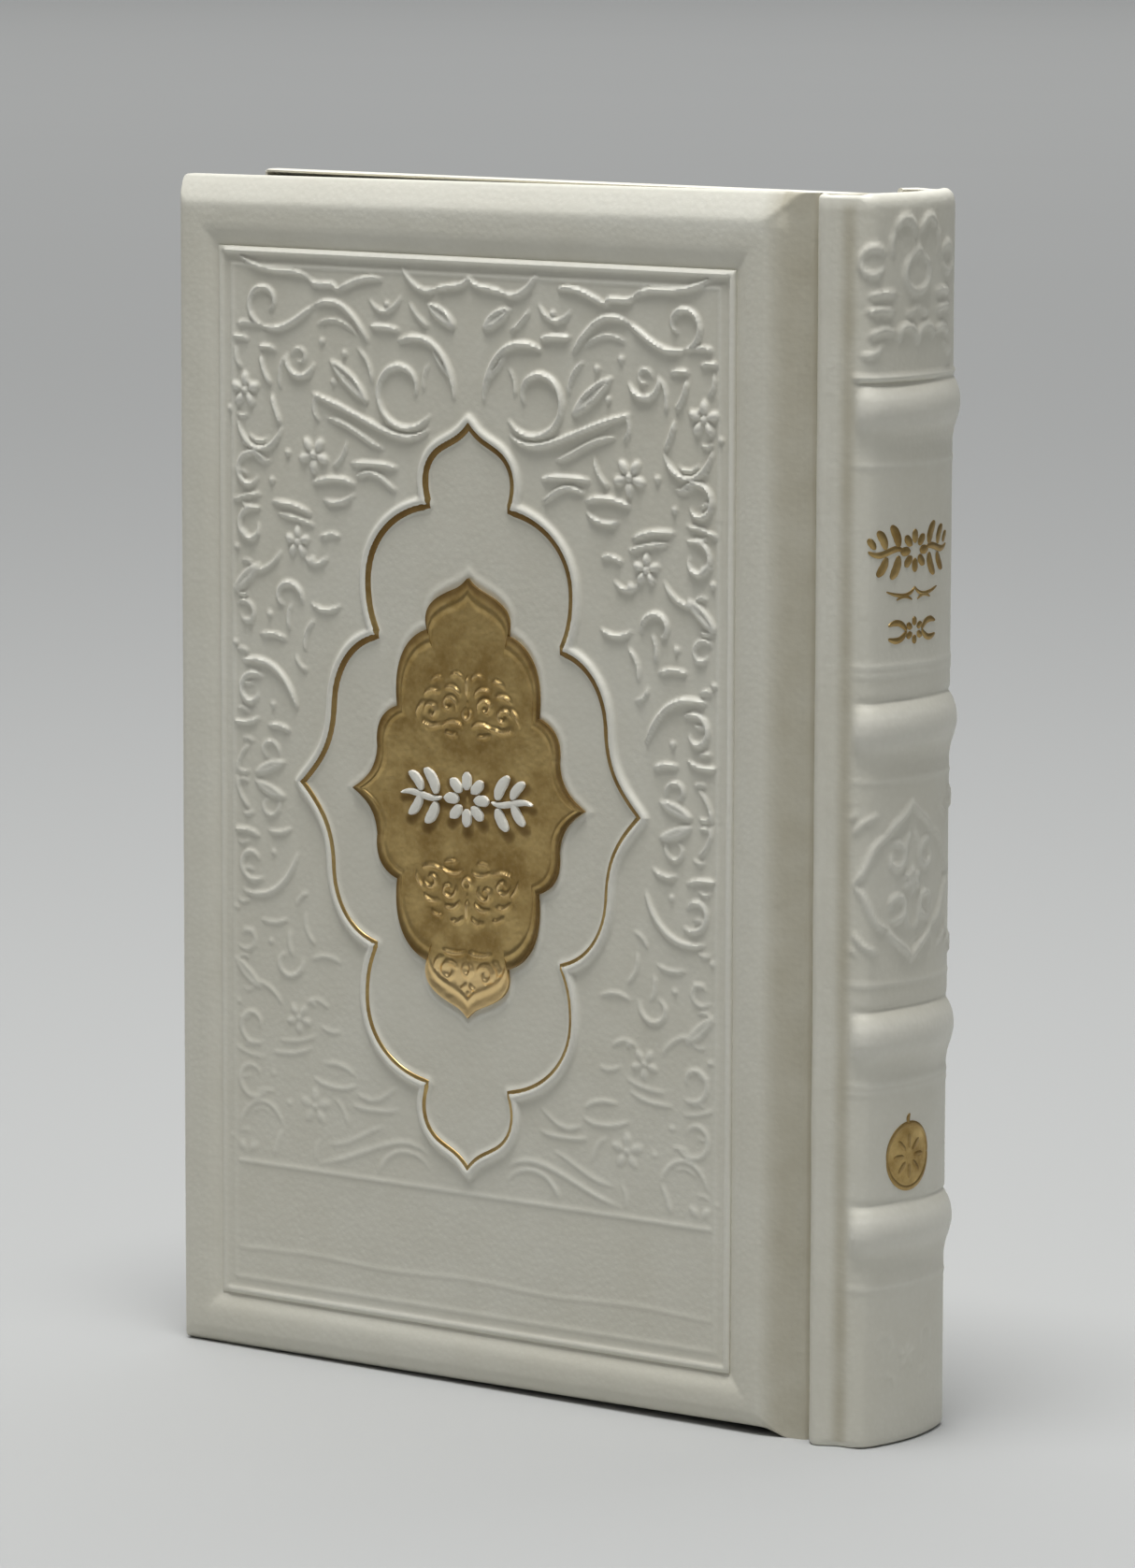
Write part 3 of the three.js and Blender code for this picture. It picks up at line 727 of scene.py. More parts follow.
# Covers: the padded border and the joint in one skin, with the pressed panel let in.
coverSkin = {
    "thickness": 0.34, "core": 0.65, "length": 107.2, "seam": 112.5, "panelGround": 11.72,
    "panelBack": 10.6, "sink": 0.03, "foldDepth": 0.35, "borderShade": 0.26, "jointDepth": 10.8,
    "headRise": {"front": 0.9, "back": -0.1}, "tailLift": 1.0,     # covers never sit quite square
    # heights over the middle plane of the book, at mm in from each edge
    "fore": [(0, 11.2), (0.15, 11.75), (0.45, 12.06), (0.9, 12.25), (1.6, 12.38), (3, 12.45)],
    "head": [(0, 10.4), (0.25, 10.64), (1, 11.06), (2, 11.54), (3, 11.99), (3.8, 12.3), (4.4, 12.43),
             (5.4, 12.47)],
    "tail": [(0, 10.9), (0.3, 11.35), (0.8, 11.76), (1.5, 12.12), (2.5, 12.37), (4, 12.46)],
    # mm out from the panel, where the padding is drawn down to the pressed ground
    "panel": [(-1.4, 11.1), (-0.5, 11.3), (-0.1, 11.55), (0.15, 11.62), (0.7, 11.8), (1.4, 12.05),
              (2.2, 12.26), (3.2, 12.4), (4.4, 12.47), (5.8, 12.48)],
    # mm from the fore edge, down into the joint and its crease
    "hinge": [(103.6, 12.46), (104.6, 12.38), (105.6, 12.16), (106.6, 11.82), (107.6, 11.42),
              (108.6, 11.0), (109.6, 10.64), (110.6, 10.42), (111.4, 10.34), (112.0, 10.16), (112.5, 9.7)],
    "outs": [0.12, 0.24, 0.35, 0.45, 0.53, 0.59, 0.63, 0.65],
    "wall": [(0.65, 9.9), (0.65, 9.0), (0.61, 8.52), (0.47, 8.28)],
}


def softMin(a, b, k=0.22):
    h = np.clip(0.5 + 0.5 * (b - a) / k, 0, 1)
    return b * (1 - h) + a * h - k * h * (1 - h)


def paddedFace(s, z, look):
    def height(key, at):
        return np.interp(at, *np.array(look[key]).T)

    y = softMin(height("fore", s), height("head", bookHeight - z))
    y = softMin(y, height("tail", z))
    y = softMin(y, height("panel", -inset(s, z, *coverArt["panel"])), 0.1)
    return softMin(y, height("hinge", s), 0.12)


# Square grid with rounded corners: the outer lines are offset round the core, then go down the wall.
def coverGrid(name, look):
    core = look["core"]
    outs = [0] + look["outs"] + [o for o, _ in look["wall"]]
    levels = len(outs) - 1
    faceLevels = len(look["outs"])
    s = np.concatenate([np.arange(core, 8.6, 0.3), np.linspace(9.2, 98.4, 22),
                        np.arange(98.8, look["seam"], 0.27), [look["seam"]]])
    z = np.concatenate([np.arange(core, 9.6, 0.35), np.linspace(10.2, 163.2, 90),
                        np.arange(163.6, bookHeight - core, 0.28), [bookHeight - core]])
    rows, columns = levels + len(s), levels * 2 + len(z)
    i, j = np.meshgrid(np.arange(rows), np.arange(columns), indexing="ij")
    a = np.maximum(levels - i, 0)
    b = np.maximum(np.maximum(levels - j, 0), j - (levels + len(z) - 1))
    ring = np.maximum(a, b)
    turn = math.radians(45) * np.minimum(a, b) / np.maximum(ring, 1)
    along = np.where(a >= b, np.cos(turn), np.sin(turn))
    across = np.where(a >= b, np.sin(turn), np.cos(turn))
    sign = np.where(j < columns / 2, -1, 1)
    out = np.array(outs)[ring]
    sAt = s[np.maximum(i - levels, 0)] - along * out * (a > 0)
    zAt = z[np.clip(j - levels, 0, len(z) - 1)] + sign * across * out * (b > 0)
    face = paddedFace(sAt, zAt, look)
    joint = smoothStep(sAt, 106.6, 108.4)
    wall = np.array([0] * (faceLevels + 1) + [y for _, y in look["wall"]])[ring]
    drop = (ring - faceLevels) * 0.22
    side = np.minimum(wall, face - 0.3) * (1 - joint) + (face - drop) * joint
    y = np.where(ring > faceLevels, side, face)
    reach = np.clip(sAt / 104, 0, 1)
    zAt = zAt + look["headRise"][name] * reach * smoothStep(zAt, 165, 172)
    lift = reach * (1 - smoothStep(sAt, 105, 110)) * (1 - smoothStep(zAt, 0.5, 6))
    fold = bell(sAt, 107.4, 0.9) * smoothStep(zAt, 170.5, 173.5)
    return sAt, y - look["foldDepth"] * fold, zAt + look["tailLift"] * lift, fold


def waver(s, z, size, seed):
    out = np.zeros(np.shape(s))
    rng = np.random.default_rng(seed)
    for _ in range(6):
        a = rng.uniform(0, 2 * math.pi)
        k = 2 * math.pi / (size * rng.uniform(0.7, 1.6))
        out += np.sin((s * math.cos(a) + z * math.sin(a)) * k + rng.uniform(0, 6.28))
    return out / 6


# Leather over padding is never quite even: length of the waves in mm, seed, height in mm.
skinWaves = ((30, 3, 0.05), (11, 4, 0.02))


def softness(s, z):
    return sum(waver(s, z, length, seed) * height for length, seed, height in skinWaves)


def makeCover(name, side, look):
    s, y, z, fold = coverGrid(name, look)
    soft = softness(s, z) * smoothStep(y, 9.5, 11.5)
    grid = np.stack([s, side * (y + soft - look["sink"]), z], -1)
    inward = look["thickness"]
    if np.median((normalsOf(grid) * side)[..., 1]) > 0:
        inward = -inward
    points, faces = sheetSolid(grid, inward)
    # Painted shade in the joint groove and in the fold under the head edge, and a lighter painted shade
    # over the border everywhere below the lit head edge.
    paintedShade = np.maximum(smoothStep(s, 103.5, 108.5), fold)
    paintedShade = np.maximum(paintedShade, look["borderShade"] * (1 - smoothStep(z, 169, 171.5)))
    paintedShade = np.tile(paintedShade.reshape(-1), 2)
    piece = finishMesh(f"{name}CoverLeather", points, faces, leather, 50,
                       {"paintedShade": paintedShade, "crestHighlight": np.zeros(len(points))})
    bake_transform(piece)
    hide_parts(f"{name}_leather", f"{name}_joint_leather")


def makePanel(name, half, side, look, relief, step):
    left, right, bottom, top = coverArt["panel"]
    blank = coverArt["blankBand"]
    middle = coverArt["centre"][1]
    s = np.linspace(left + 0.05, right - 0.05, int((right - left) / step))
    if half == "Upper":
        z = np.linspace(middle, top - 0.05, int((top - middle) / step))
    else:
        z = np.concatenate([np.arange(bottom + 0.05, blank[0] + 1.4, step),
                            np.arange(blank[0] + 1.6, blank[1] - 1.2, step * 2.4),
                            np.linspace(blank[1] - 1, middle, int((middle - blank[1] + 1) / step))])
    s, z = np.meshgrid(s, z, indexing="ij")
    height = relief(s, z)
    y = look["panelGround"] + height + softness(s, z) - look["sink"]
    points, faces = slabSolid(np.stack([s, side * y, z], -1), side * look["panelBack"])
    # Painted shade on the ground between the relief, and a painted highlight on its crests.
    paintedShade = filled((1 - smoothStep(height, 0.0, 0.2)) * 0.30, len(points))
    crestHighlight = filled(smoothStep(height, 0.25, 0.45) * 0.55, len(points))
    piece = finishMesh(f"{name}PanelLeather{half}", points, faces, leather, 60,
                       {"paintedShade": paintedShade, "crestHighlight": crestHighlight})
    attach(piece, f"{name}_cover")


# Back panel: a frame line, a fainter one inside it and a plain inner frame, nothing else.
def backRelief(s, z):
    toFrame = inset(s, z, *coverArt["panel"])
    h = np.maximum(coverArt["frameHeight"] * bell(toFrame, 0.55, 0.42), 0.16 * bell(toFrame, 1.9, 0.3))
    return np.maximum(h, 0.3 * bell(toFrame, 9, 0.45))


makeCover("front", -1, coverSkin)
makeCover("back", 1, coverSkin)
for panelHalf in ("Upper", "Lower"):
    makePanel("front", panelHalf, -1, coverSkin, panelRelief, 0.32)
    makePanel("back", panelHalf, 1, coverSkin, backRelief, 0.5)
print("cover leather made")


# Gold line of the cartouche, and the medallion.
foilWork = {
    "lineWide": 0.95, "lineNarrow": 0.6, "lineIn": -0.05, "lift": 0.1, "edgeLift": -0.02, "backLift": -0.12,
    "medallionEdge": 0.985, "plateSink": 0.2, "plateLift": 0.08, "plateHeight": 0.18, "crown": 0.10,
    "rimHeight": 0.22, "cupHeight": 0.30, "domeDrop": 0.2, "rosetteLift": 0.34,
}


# A point over the front cover, from mm off the cartouche's middle.
def onCover(x, y, depth):
    return np.stack([x + coverArt["centre"][0], np.broadcast_to(depth, np.shape(x)),
                     y + coverArt["centre"][1]], -1)


def frontY(x, y, lift):
    s, z = x + coverArt["centre"][0], y + coverArt["centre"][1]
    return -(coverSkin["panelGround"] + panelRelief(s, z) + softness(s, z) - coverSkin["sink"] + lift)


def makeCartoucheLine(work):
    outline = wholeOutline(cartoucheQuarter, 26)
    normal = inwardNormals(outline)
    spread = (work["lineWide"] - work["lineNarrow"]) * smoothStep(outline[:, 1], -20, 25)
    width = work["lineNarrow"] + spread
    shares = np.linspace(0, 1, 6)
    section = [(k, work["lift"] if 0 < k < 1 else work["edgeLift"]) for k in shares]
    section += [(k, work["backLift"]) for k in shares[::-1]]
    rings = []
    for share, lift in section:
        flat = outline + normal * (work["lineIn"] + width * share)[:, None]
        rings.append(onCover(flat[:, 0], flat[:, 1], frontY(flat[:, 0], flat[:, 1], lift)))
    rows, columns = len(rings), len(outline)
    faces = quads(rows, columns, wrapRows=True, wrapColumns=True)
    # Painted shade on the upper half of the line, where its flank faces down, with a slight even darkening
    # all round.
    upper = smoothStep(-normal[:, 1], -0.5, 0.6) * smoothStep(outline[:, 1], -25, 20)
    tarnishAndShade = np.tile(0.12 + 0.7 * upper, rows)
    piece = finishMesh("cartoucheGoldLine", np.concatenate(rings), faces, foil, 60,
                       {"tarnishAndShade": tarnishAndShade})
    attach(piece, "front_cover")
    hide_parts("cartouche_foil_line")


# Ornaments inside the medallion, right half: a garland above and below the middle, and small
# scrolls in the lower dome.
def drawMedallion():
    r = newRelief(0, 22, -33, 33)

    def both(points, width, height):
        press(r, points, width, height)
        press(r, points * (1, -1), width, height)

    w, h = 0.6, 0.5
    both(curl((0, 12.6), 1.5, 0.5, 90, 420), w, h)
    both(curl((3.3, 13.5), 1.4, 0.4, 200, -150), w, h)
    both(curl((6.5, 12.3), 1.3, 0.4, 10, 350), w, h)
    both(curve((0.9, 10.6), (2.6, 11.7), (4.6, 10.3)), w, h)
    both(curve((4.6, 10.7), (6.4, 9.7), (8.2, 10.8)), w, h)
    both(curve((1.4, 15.2), (2.4, 16.7), (4.0, 15.9)), w, h)
    both(curve((0, 15.0), (0.2, 16.2), (0, 17.6)), w, h)
    both(curve((5.2, 15.2), (6.6, 15.9), (7.8, 14.7)), w, h)
    both(curve((7.8, 13.6), (9.0, 13.0), (9.2, 11.6)), w, h)
    both(curve((0.8, 17.4), (1.6, 18.6), (2.9, 17.9)), w, h * 0.8)
    both(curve((1.9, 9.3), (3.0, 9.0), (4.0, 9.6)), w, h * 0.8)
    both(curve((4.6, 17.4), (5.8, 17.6), (6.4, 16.8)), w, h * 0.8)
    for stroke in (curl((0, -24.8), 1.5, 0.5, 90, 450), curl((3.3, -25.6), 1.6, 0.5, 150, -190),
                   curve((0.4, -22.4), (2.2, -23.2), (4.4, -22.4)),
                   curve((4.6, -23.4), (6.2, -24.2), (5.8, -26.4)),
                   curve((0.3, -27.2), (1.6, -28.8), (3.4, -28.0)),
                   curve((0, -28.4), (0.2, -29.4), (0, -30.4))):
        press(r, stroke, 0.7, 0.45)
    soften(r, 1)
    return r


def makeMedallion(work):
    outline = wholeOutline(medallionQuarter, 24) * work["medallionEdge"]
    art = drawMedallion()
    shares = np.concatenate([np.linspace(0.02, 0.86, 104), np.linspace(0.87, 1.0, 22)])
    flat = shares[:, None, None] * outline[None]
    x, y = flat[..., 0], flat[..., 1]
    rimLine = work["rimHeight"] * bell(shares, 0.925, 0.018)[:, None]
    cup = work["cupHeight"] * smoothStep(shares, 0.93, 1.0)[:, None]
    garland = read(art, np.abs(x), y) * (shares < 0.9)[:, None]
    height = work["plateHeight"] + garland + rimLine + cup + work["crown"] * (1 - shares[:, None] ** 2)
    height = height - work["domeDrop"] * smoothStep(-y, 24.5, 33)
    top = onCover(x, y, -(coverSkin["panelGround"] + work["plateLift"] + height))
    rows, columns = top.shape[:2]
    back = top[-1].copy()
    back[:, 1] = -(coverSkin["panelGround"] - work["plateSink"])
    points = np.concatenate([top.reshape(-1, 3), back, top[:1].mean(1), back.mean(0, keepdims=True)])
    count = rows * columns
    faces = quads(rows, columns, wrapColumns=True)
    last = count - columns
    for j in range(columns):
        m = (j + 1) % columns
        faces += [[m, j, count + columns], [last + j, last + m, count + m, count + j],
                  [count + j, count + m, count + columns + 1]]
    # Painted shade: a dark band round the rim of the plate.
    edge = 0.12 + np.broadcast_to(smoothStep(shares, 0.945, 0.985)[:, None] * 0.6, y.shape)
    # Painted shadow under each raised stroke of the rosette, set a little below it.
    shade = newRelief(-14, 14, -7, 6)
    for line, width in rosetteStrokes():
        press(shade, line + (0.1, -0.8), width + 0.7, 1.0, 0, 1)
    soften(shade, 3)
    tarnishAndShade = filled(np.maximum(edge, 0.8 * read(shade, x, y)), len(points))
    # Painted highlight and reflection: the lower dome and the crests of the garland are marked bright.
    bright = np.maximum(smoothStep(-y, 23.0, 25.5) * 0.9, smoothStep(garland, 0.2, 0.45) * 0.6)
    piece = finishMesh("medallionGoldPlate", points, faces, foil, 60,
                       {"tarnishAndShade": tarnishAndShade, "paintedGlint": filled(bright, len(points))})
    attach(piece, "front_cover")
    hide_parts("medallion_foil")


# A raised band of strokes on a surface: each stroke is its own closed ribbon with a crowned top.
def ribbons(strokes, surface, thickness):
    points, faces = [], []
    for line, width in strokes:
        line = np.asarray(line, float)
        along = np.gradient(line, axis=0)
        along /= np.maximum(np.linalg.norm(along, axis=1, keepdims=True), 1e-9)
        side = np.stack([-along[:, 1], along[:, 0]], -1)
        share = np.linspace(0, 1, len(line))
        half = width / 2 * (0.25 + 0.75 * np.sqrt(np.clip(np.minimum(share, 1 - share) / 0.3, 0, 1)))
        rings = []
        for across, lift in ((-1, -0.1), (-0.85, 0.75), (0, 1), (0.85, 0.75), (1, -0.1)):
            flat = line + side * (half * across)[:, None]
            rings.append(surface(flat[:, 0], flat[:, 1], lift * thickness))
        grid = np.stack(rings, 0)
        faces += tubeFaces(*grid.shape[:2], len(points))
        points.extend(grid.reshape(-1, 3).tolist())
    return points, faces


def mirrored(strokes):
    return strokes + [(np.asarray(line)[::-1] * (-1, 1), width) for line, width in strokes]


def petals(centre, radius, count, width, turn=90):
    out = []
    for k in range(count):
        a = math.radians(turn + 360 * k / count)
        d = np.array([math.cos(a), math.sin(a)])
        c = np.array(centre, float)
        out.append((curve(c + d * radius * 0.35, c + d * radius, steps=8), width))
    return out


def medallionSurface(x, y, lift):
    return onCover(x, y, -(coverSkin["panelGround"] + foilWork["rosetteLift"] + lift))


def rosetteStrokes():
    spray = [
        (curve((4.6, 0), (6.8, -1.1), (9.2, 1.1), (11.8, 0.1)), 1.0),
        (curve((5.6, 0.4), (5.6, 2.4), (7.6, 3.9)), 1.75),
        (curve((5.6, -0.8), (5.8, -2.6), (7.4, -3.9)), 1.75),
        (curve((8.2, 0.7), (8.6, 2.4), (10.4, 3.2)), 1.5),
        (curve((8.4, 0.1), (8.8, -1.8), (10.4, -2.9)), 1.5),
    ]
    return petals((0, 0), 4.0, 8, 1.7) + mirrored(spray)


# A rosette between two sprays of leaves, in raised leather that is painted lighter all over as a highlight.
def makeMedallionOrnament():
    points, faces = ribbons(rosetteStrokes(), medallionSurface, 0.5)
    piece = finishMesh("medallionRosette", points, faces, leather, 50,
                       {"paintedShade": np.zeros(len(points)), "crestHighlight": np.ones(len(points))})
    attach(piece, "front_cover")
    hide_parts("medallion_rosette")


makeCartoucheLine(foilWork)
makeMedallion(foilWork)
makeMedallionOrnament()
print("gold work on the cover made")


# Spine leather with humps over the bands, and a rolled cap at head and tail.
spineLook = {
    "apex": 124.0, "radius": 27.0,
    "shoulder": [(112.5, 9.7), (112.7, 10.15), (113.0, 10.7), (113.5, 11.4), (114.0, 11.95),
                 (114.5, 12.27), (115.1, 12.36), (115.7, 12.15), (116.4, 11.72), (117.1, 11.28),
                 (117.8, 11.0), (118.6, 10.88), (119.4, 10.84), (120.2, 10.8), (121.0, 10.66),
                 (121.7, 10.25), (122.2, 9.6)],
    "bands": [146.5, 102.0, 58.5, 30.8], "bandHeight": 1.05,
    # rise of the skin over a band, at mm above its middle: a crease on the head side, then a soft slope
    "band": [(-5.4, 0), (-3.8, 0.24), (-2.2, 0.72), (-0.8, 1.0), (0.4, 1.0), (1.5, 0.84), (2.6, 0.46),
             (3.4, 0.04), (3.8, -0.24), (4.2, -0.06), (4.7, 0)],
    "fine": 0.43, "skin": 0.6, "artShift": -2.3, "valley": (14.2, 1.3),
    # the rolled cap stands up between the shoulders only, and fades out over lipEnds
    "capDepth": 1.4, "capDrop": 2.0, "capRise": 1.1, "lipEnds": (11.2, 13.0), "lipRoll": 0.8,
    "footRoll": 0.9, "headReturn": 4, "footReturn": 5,
}


def spineProfile(look):
    centre = look["apex"] - look["radius"]
    near = list(look["shoulder"])
    for angle in np.radians(np.linspace(19, 0, 14)):
        near.append((centre + look["radius"] * math.cos(angle), look["radius"] * math.sin(angle)))
    near = np.array(near) * (1, -1)
    line = np.concatenate([near, (near[:-1] * (1, -1))[::-1]])
    length = np.concatenate([[0], np.cumsum(np.linalg.norm(np.diff(line, axis=0), axis=1))])
    at = np.linspace(0, length[-1], int(length[-1] / look["fine"]))
    line = np.stack([np.interp(at, length, line[:, k]) for k in (0, 1)], -1)
    line[1:-1] = (line[:-2] + line[1:-1] * 2 + line[2:]) / 4
    return line, at - length[-1] / 2


profile, profileAt = spineProfile(spineLook)
profileAlong = np.gradient(profile, axis=0)
profileNormal = np.stack([profileAlong[:, 1], -profileAlong[:, 0]], -1)
profileNormal /= np.linalg.norm(profileNormal, axis=1, keepdims=True)


def drawSpine():
    r = newRelief(-16, 16, 0, bookHeight, 0.2)
    w, h = 1.0, 0.5

    def both(points, k=1.0):
        press(r, points, w * k, h * k)
        press(r, points * (-1, 1), w * k, h * k)

    def across(z, height, half=13.2, sag=0.0):
        press(r, curve((-half, z), (0, z + sag), (half, z), steps=60), 0.9, height, 0.05)

    # head compartment: an open oval between two smaller ones, over a ridge
    across(150.7, 0.55)
    both(curl((0, 165.0), 2.7, 2.5, 70, -100))
    both(curve((0.9, 167.7), (0.4, 168.6), (-0.6, 168.4), (-0.9, 167.2)), 0.8)
    both(curl((8.2, 166.6), 2.1, 1.5, 150, -160))
    both(curve((0.4, 170.0), (1.4, 172.2), (3.2, 172.6), (4.6, 170.6)))
    both(curve((4.6, 170.4), (5.6, 169.2), (5.0, 167.4)), 0.8)
    both(curve((4.6, 162.2), (6.6, 162.9), (8.8, 162.0)))
    both(curve((4.8, 159.7), (6.8, 160.5), (9.0, 159.9)))
    both(curl((2.4, 156.0), 2.3, 1.3, 200, -10))
    both(curve((4.6, 156.8), (6.6, 158.2), (8.6, 156.4)))
    both(curve((6.8, 155.2), (8.2, 153.4), (9.8, 154.0)), 0.9)
    both(curve((0.2, 160.4), (1.2, 159.2), (2.4, 159.6)), 0.8)
    # lines round the title compartments
    for z in (138.6, 110.6, 94.6, 66.0, 51.8, 22.8):
        across(z, 0.15)
    for z in (109.4, 50.7):
        across(z, 0.12)
    # middle compartment: a lozenge of scrolls
    for zSign in (1, -1):
        def at(points):
            return np.asarray(points) * (1, zSign) + (0, 80.3)
        both(at(curve((0.0, 11.4), (1.0, 8.8), (4.0, 8.8), (5.0, 6.4))))
        both(at(curve((5.0, 6.4), (8.6, 6.0), (7.4, 2.2), (10.4, 0.0))))
        both(at(curl((3.4, 3.4), 2.2, 0.8, 70, 400)), 0.9)
        both(at(curve((0.4, 6.8), (1.8, 5.4), (1.4, 3.8))), 0.8)
        both(at(curve((6.6, 9.6), (9.0, 9.2), (10.4, 6.8))), 0.8)
        both(at(curl((11.4, 10.6), 1.6, 0.8, 200, 500)), 0.8)
    flower(r, (0, 80.3), 1.7, 6, h)
    # foot compartment: one faint spray
    both(curve((2.4, 9.0), (3.6, 10.4), (5.6, 10.2)), 0.4)
    both(curl((5.0, 14.6), 2.0, 0.8, 240, -60), 0.4)
    flower(r, (0, 12.6), 1.6, 5, h * 0.4)
    soften(r, 2)
    return r


spineArt = drawSpine()


def spineRise(t, z):
    look = spineLook
    share = 1 - smoothStep(np.abs(t), 11.4, 13.6)
    rise = np.zeros(np.shape(t * z))
    for k, middle in enumerate(look["bands"]):
        above = z - middle - 0.15 * np.sin(t * 0.21 + k)
        rise = rise + np.interp(above, *np.array(look["band"]).T) * look["bandHeight"] * share
    art = read(spineArt, t - look["artShift"], z) * (1 - smoothStep(np.abs(t), 12.2, 14.0))
    return rise + art + waver(t, z, 16, 8) * 0.05


def spinePoint(t, z, lift):
    base = np.stack([np.interp(t, profileAt, profile[:, k]) for k in (0, 1)], -1)
    normal = np.stack([np.interp(t, profileAt, profileNormal[:, k]) for k in (0, 1)], -1)
    out = base + normal * (spineRise(t, z) + lift)[..., None]
    return np.stack([out[..., 0], out[..., 1], capped(t, z)], -1)


# The cap stands a little over the covers at the head, between the shoulders.
def capped(t, z):
    share = smoothStep(z, 167, 174) * (1 - 0.25 * smoothStep(np.abs(t), *spineLook["lipEnds"]))
    return z + spineLook["capRise"] * share


def makeSpine(look):
    depth, drop, lipRoll, footRoll = (look[k] for k in ("capDepth", "capDrop", "lipRoll", "footRoll"))
    zs = np.arange(footRoll, bookHeight - drop + 0.01, look["fine"])
    quarter = np.linspace(0, math.pi / 2, 8)[1:]
    head = [(depth * (math.cos(a) - 1), bookHeight - drop + drop * math.sin(a)) for a in quarter]
    for a in quarter:
        head.append((-2 * depth * (0.5 + 0.5 * math.sin(a)), bookHeight - lipRoll + lipRoll * math.cos(a)))
    foot = []
    for a in np.linspace(0, math.pi, 9)[1:]:
        foot.append((footRoll * (math.cos(a) - 1), footRoll - footRoll * math.sin(a)))
    head.append((-look["skin"], bookHeight - drop - look["headReturn"]))
    foot.append((-look["skin"], look["footReturn"]))
    rows = []
    t = profileAt
    lip = 1 - smoothStep(np.abs(t), *look["lipEnds"])
    for z in zs:
        rows.append(spinePoint(t, np.full_like(t, z), np.zeros_like(t)))
    for group, order in ((head, 1), (foot, -1)):
        part = []
        for off, z in group:
            if z > bookHeight / 2:
                sharp = bookHeight - 0.35 * (bookHeight - z)
                z = capped(t, z * lip + sharp * (1 - lip))
            base = profile + profileNormal * (off * (0.5 + 0.5 * lip))[:, None]
            part.append(np.stack([base[:, 0], base[:, 1], np.zeros_like(t) + z], -1))
        rows += part[::order]
    grid = np.stack(rows, 0)
    count, columns = grid.shape[:2]
    points = grid.reshape(-1, 3)
    tt, zz = np.meshgrid(t, zs)
    pressed = read(spineArt, tt - look["artShift"], zz)
    # Painted shade in the valley beside the shoulder and on the ground between the pressed art; painted
    # highlight on the tops of the bands.
    paintedShade = np.maximum(bell(np.abs(tt), *look["valley"]), 0.22 * (1 - smoothStep(pressed, 0, 0.2)))
    crestHighlight = smoothStep(spineRise(tt, zz), 0.2, 0.9) * 0.4
    piece = finishMesh("spineLeather", points, tubeFaces(count, columns), leather, 60,
                       {"paintedShade": filled(paintedShade, len(points)), "crestHighlight": filled(crestHighlight, len(points))})
    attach(piece, "book_block")
    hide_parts("spine_leather")


makeSpine(spineLook)


goldPlate = {
    "sides": 48, "rings": 8, "lift": 0.02, "back": -0.1,
    "strokeTarnish": 0.35, "strokeLift": 0.03, "strokeThickness": 0.09,
}


# Strokes of foil on the spine, and where ground is given a thin oval plate under them. The ground
# is its two half-widths and how far its middle is moved up.
def spineFoil(name, node, strokes, middle, ground=None):
    def surface(x, y, lift):
        return spinePoint(np.asarray(x) + spineLook["artShift"], np.asarray(y) + middle,
                          np.full(np.shape(x), lift + goldPlate["strokeLift"]))

    points, faces = ribbons(strokes, surface, goldPlate["strokeThickness"])
    first = len(points)
    if ground is not None:
        sides, rings = goldPlate["sides"], goldPlate["rings"]
        angle = np.linspace(0, 2 * math.pi, sides + 1)[:-1]
        levels = [(k / rings, goldPlate["lift"]) for k in range(1, rings + 1)] + [(1, goldPlate["back"])]
        for share, lift in levels:
            points += surface(ground[0] * share * np.cos(angle),
                              ground[2] + ground[1] * share * np.sin(angle), lift).tolist()
        for lift in (goldPlate["lift"], goldPlate["back"]):
            points += surface([0], [ground[2]], lift).tolist()
        last = first + sides * rings
        for k in range(sides):
            n = (k + 1) % sides
            faces.append([first + k, first + n, len(points) - 2])
            faces.append([last + n, last + k, len(points) - 1])
            for a in range(first, last, sides):
                faces.append([a + n, a + k, a + k + sides, a + n + sides])
    tarnishAndShade = np.where(np.arange(len(points)) < first, goldPlate["strokeTarnish"], 0.0)
    piece = finishMesh(name, points, faces, foil, 60, {"tarnishAndShade": tarnishAndShade})
    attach(piece, "book_block")
    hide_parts(node)


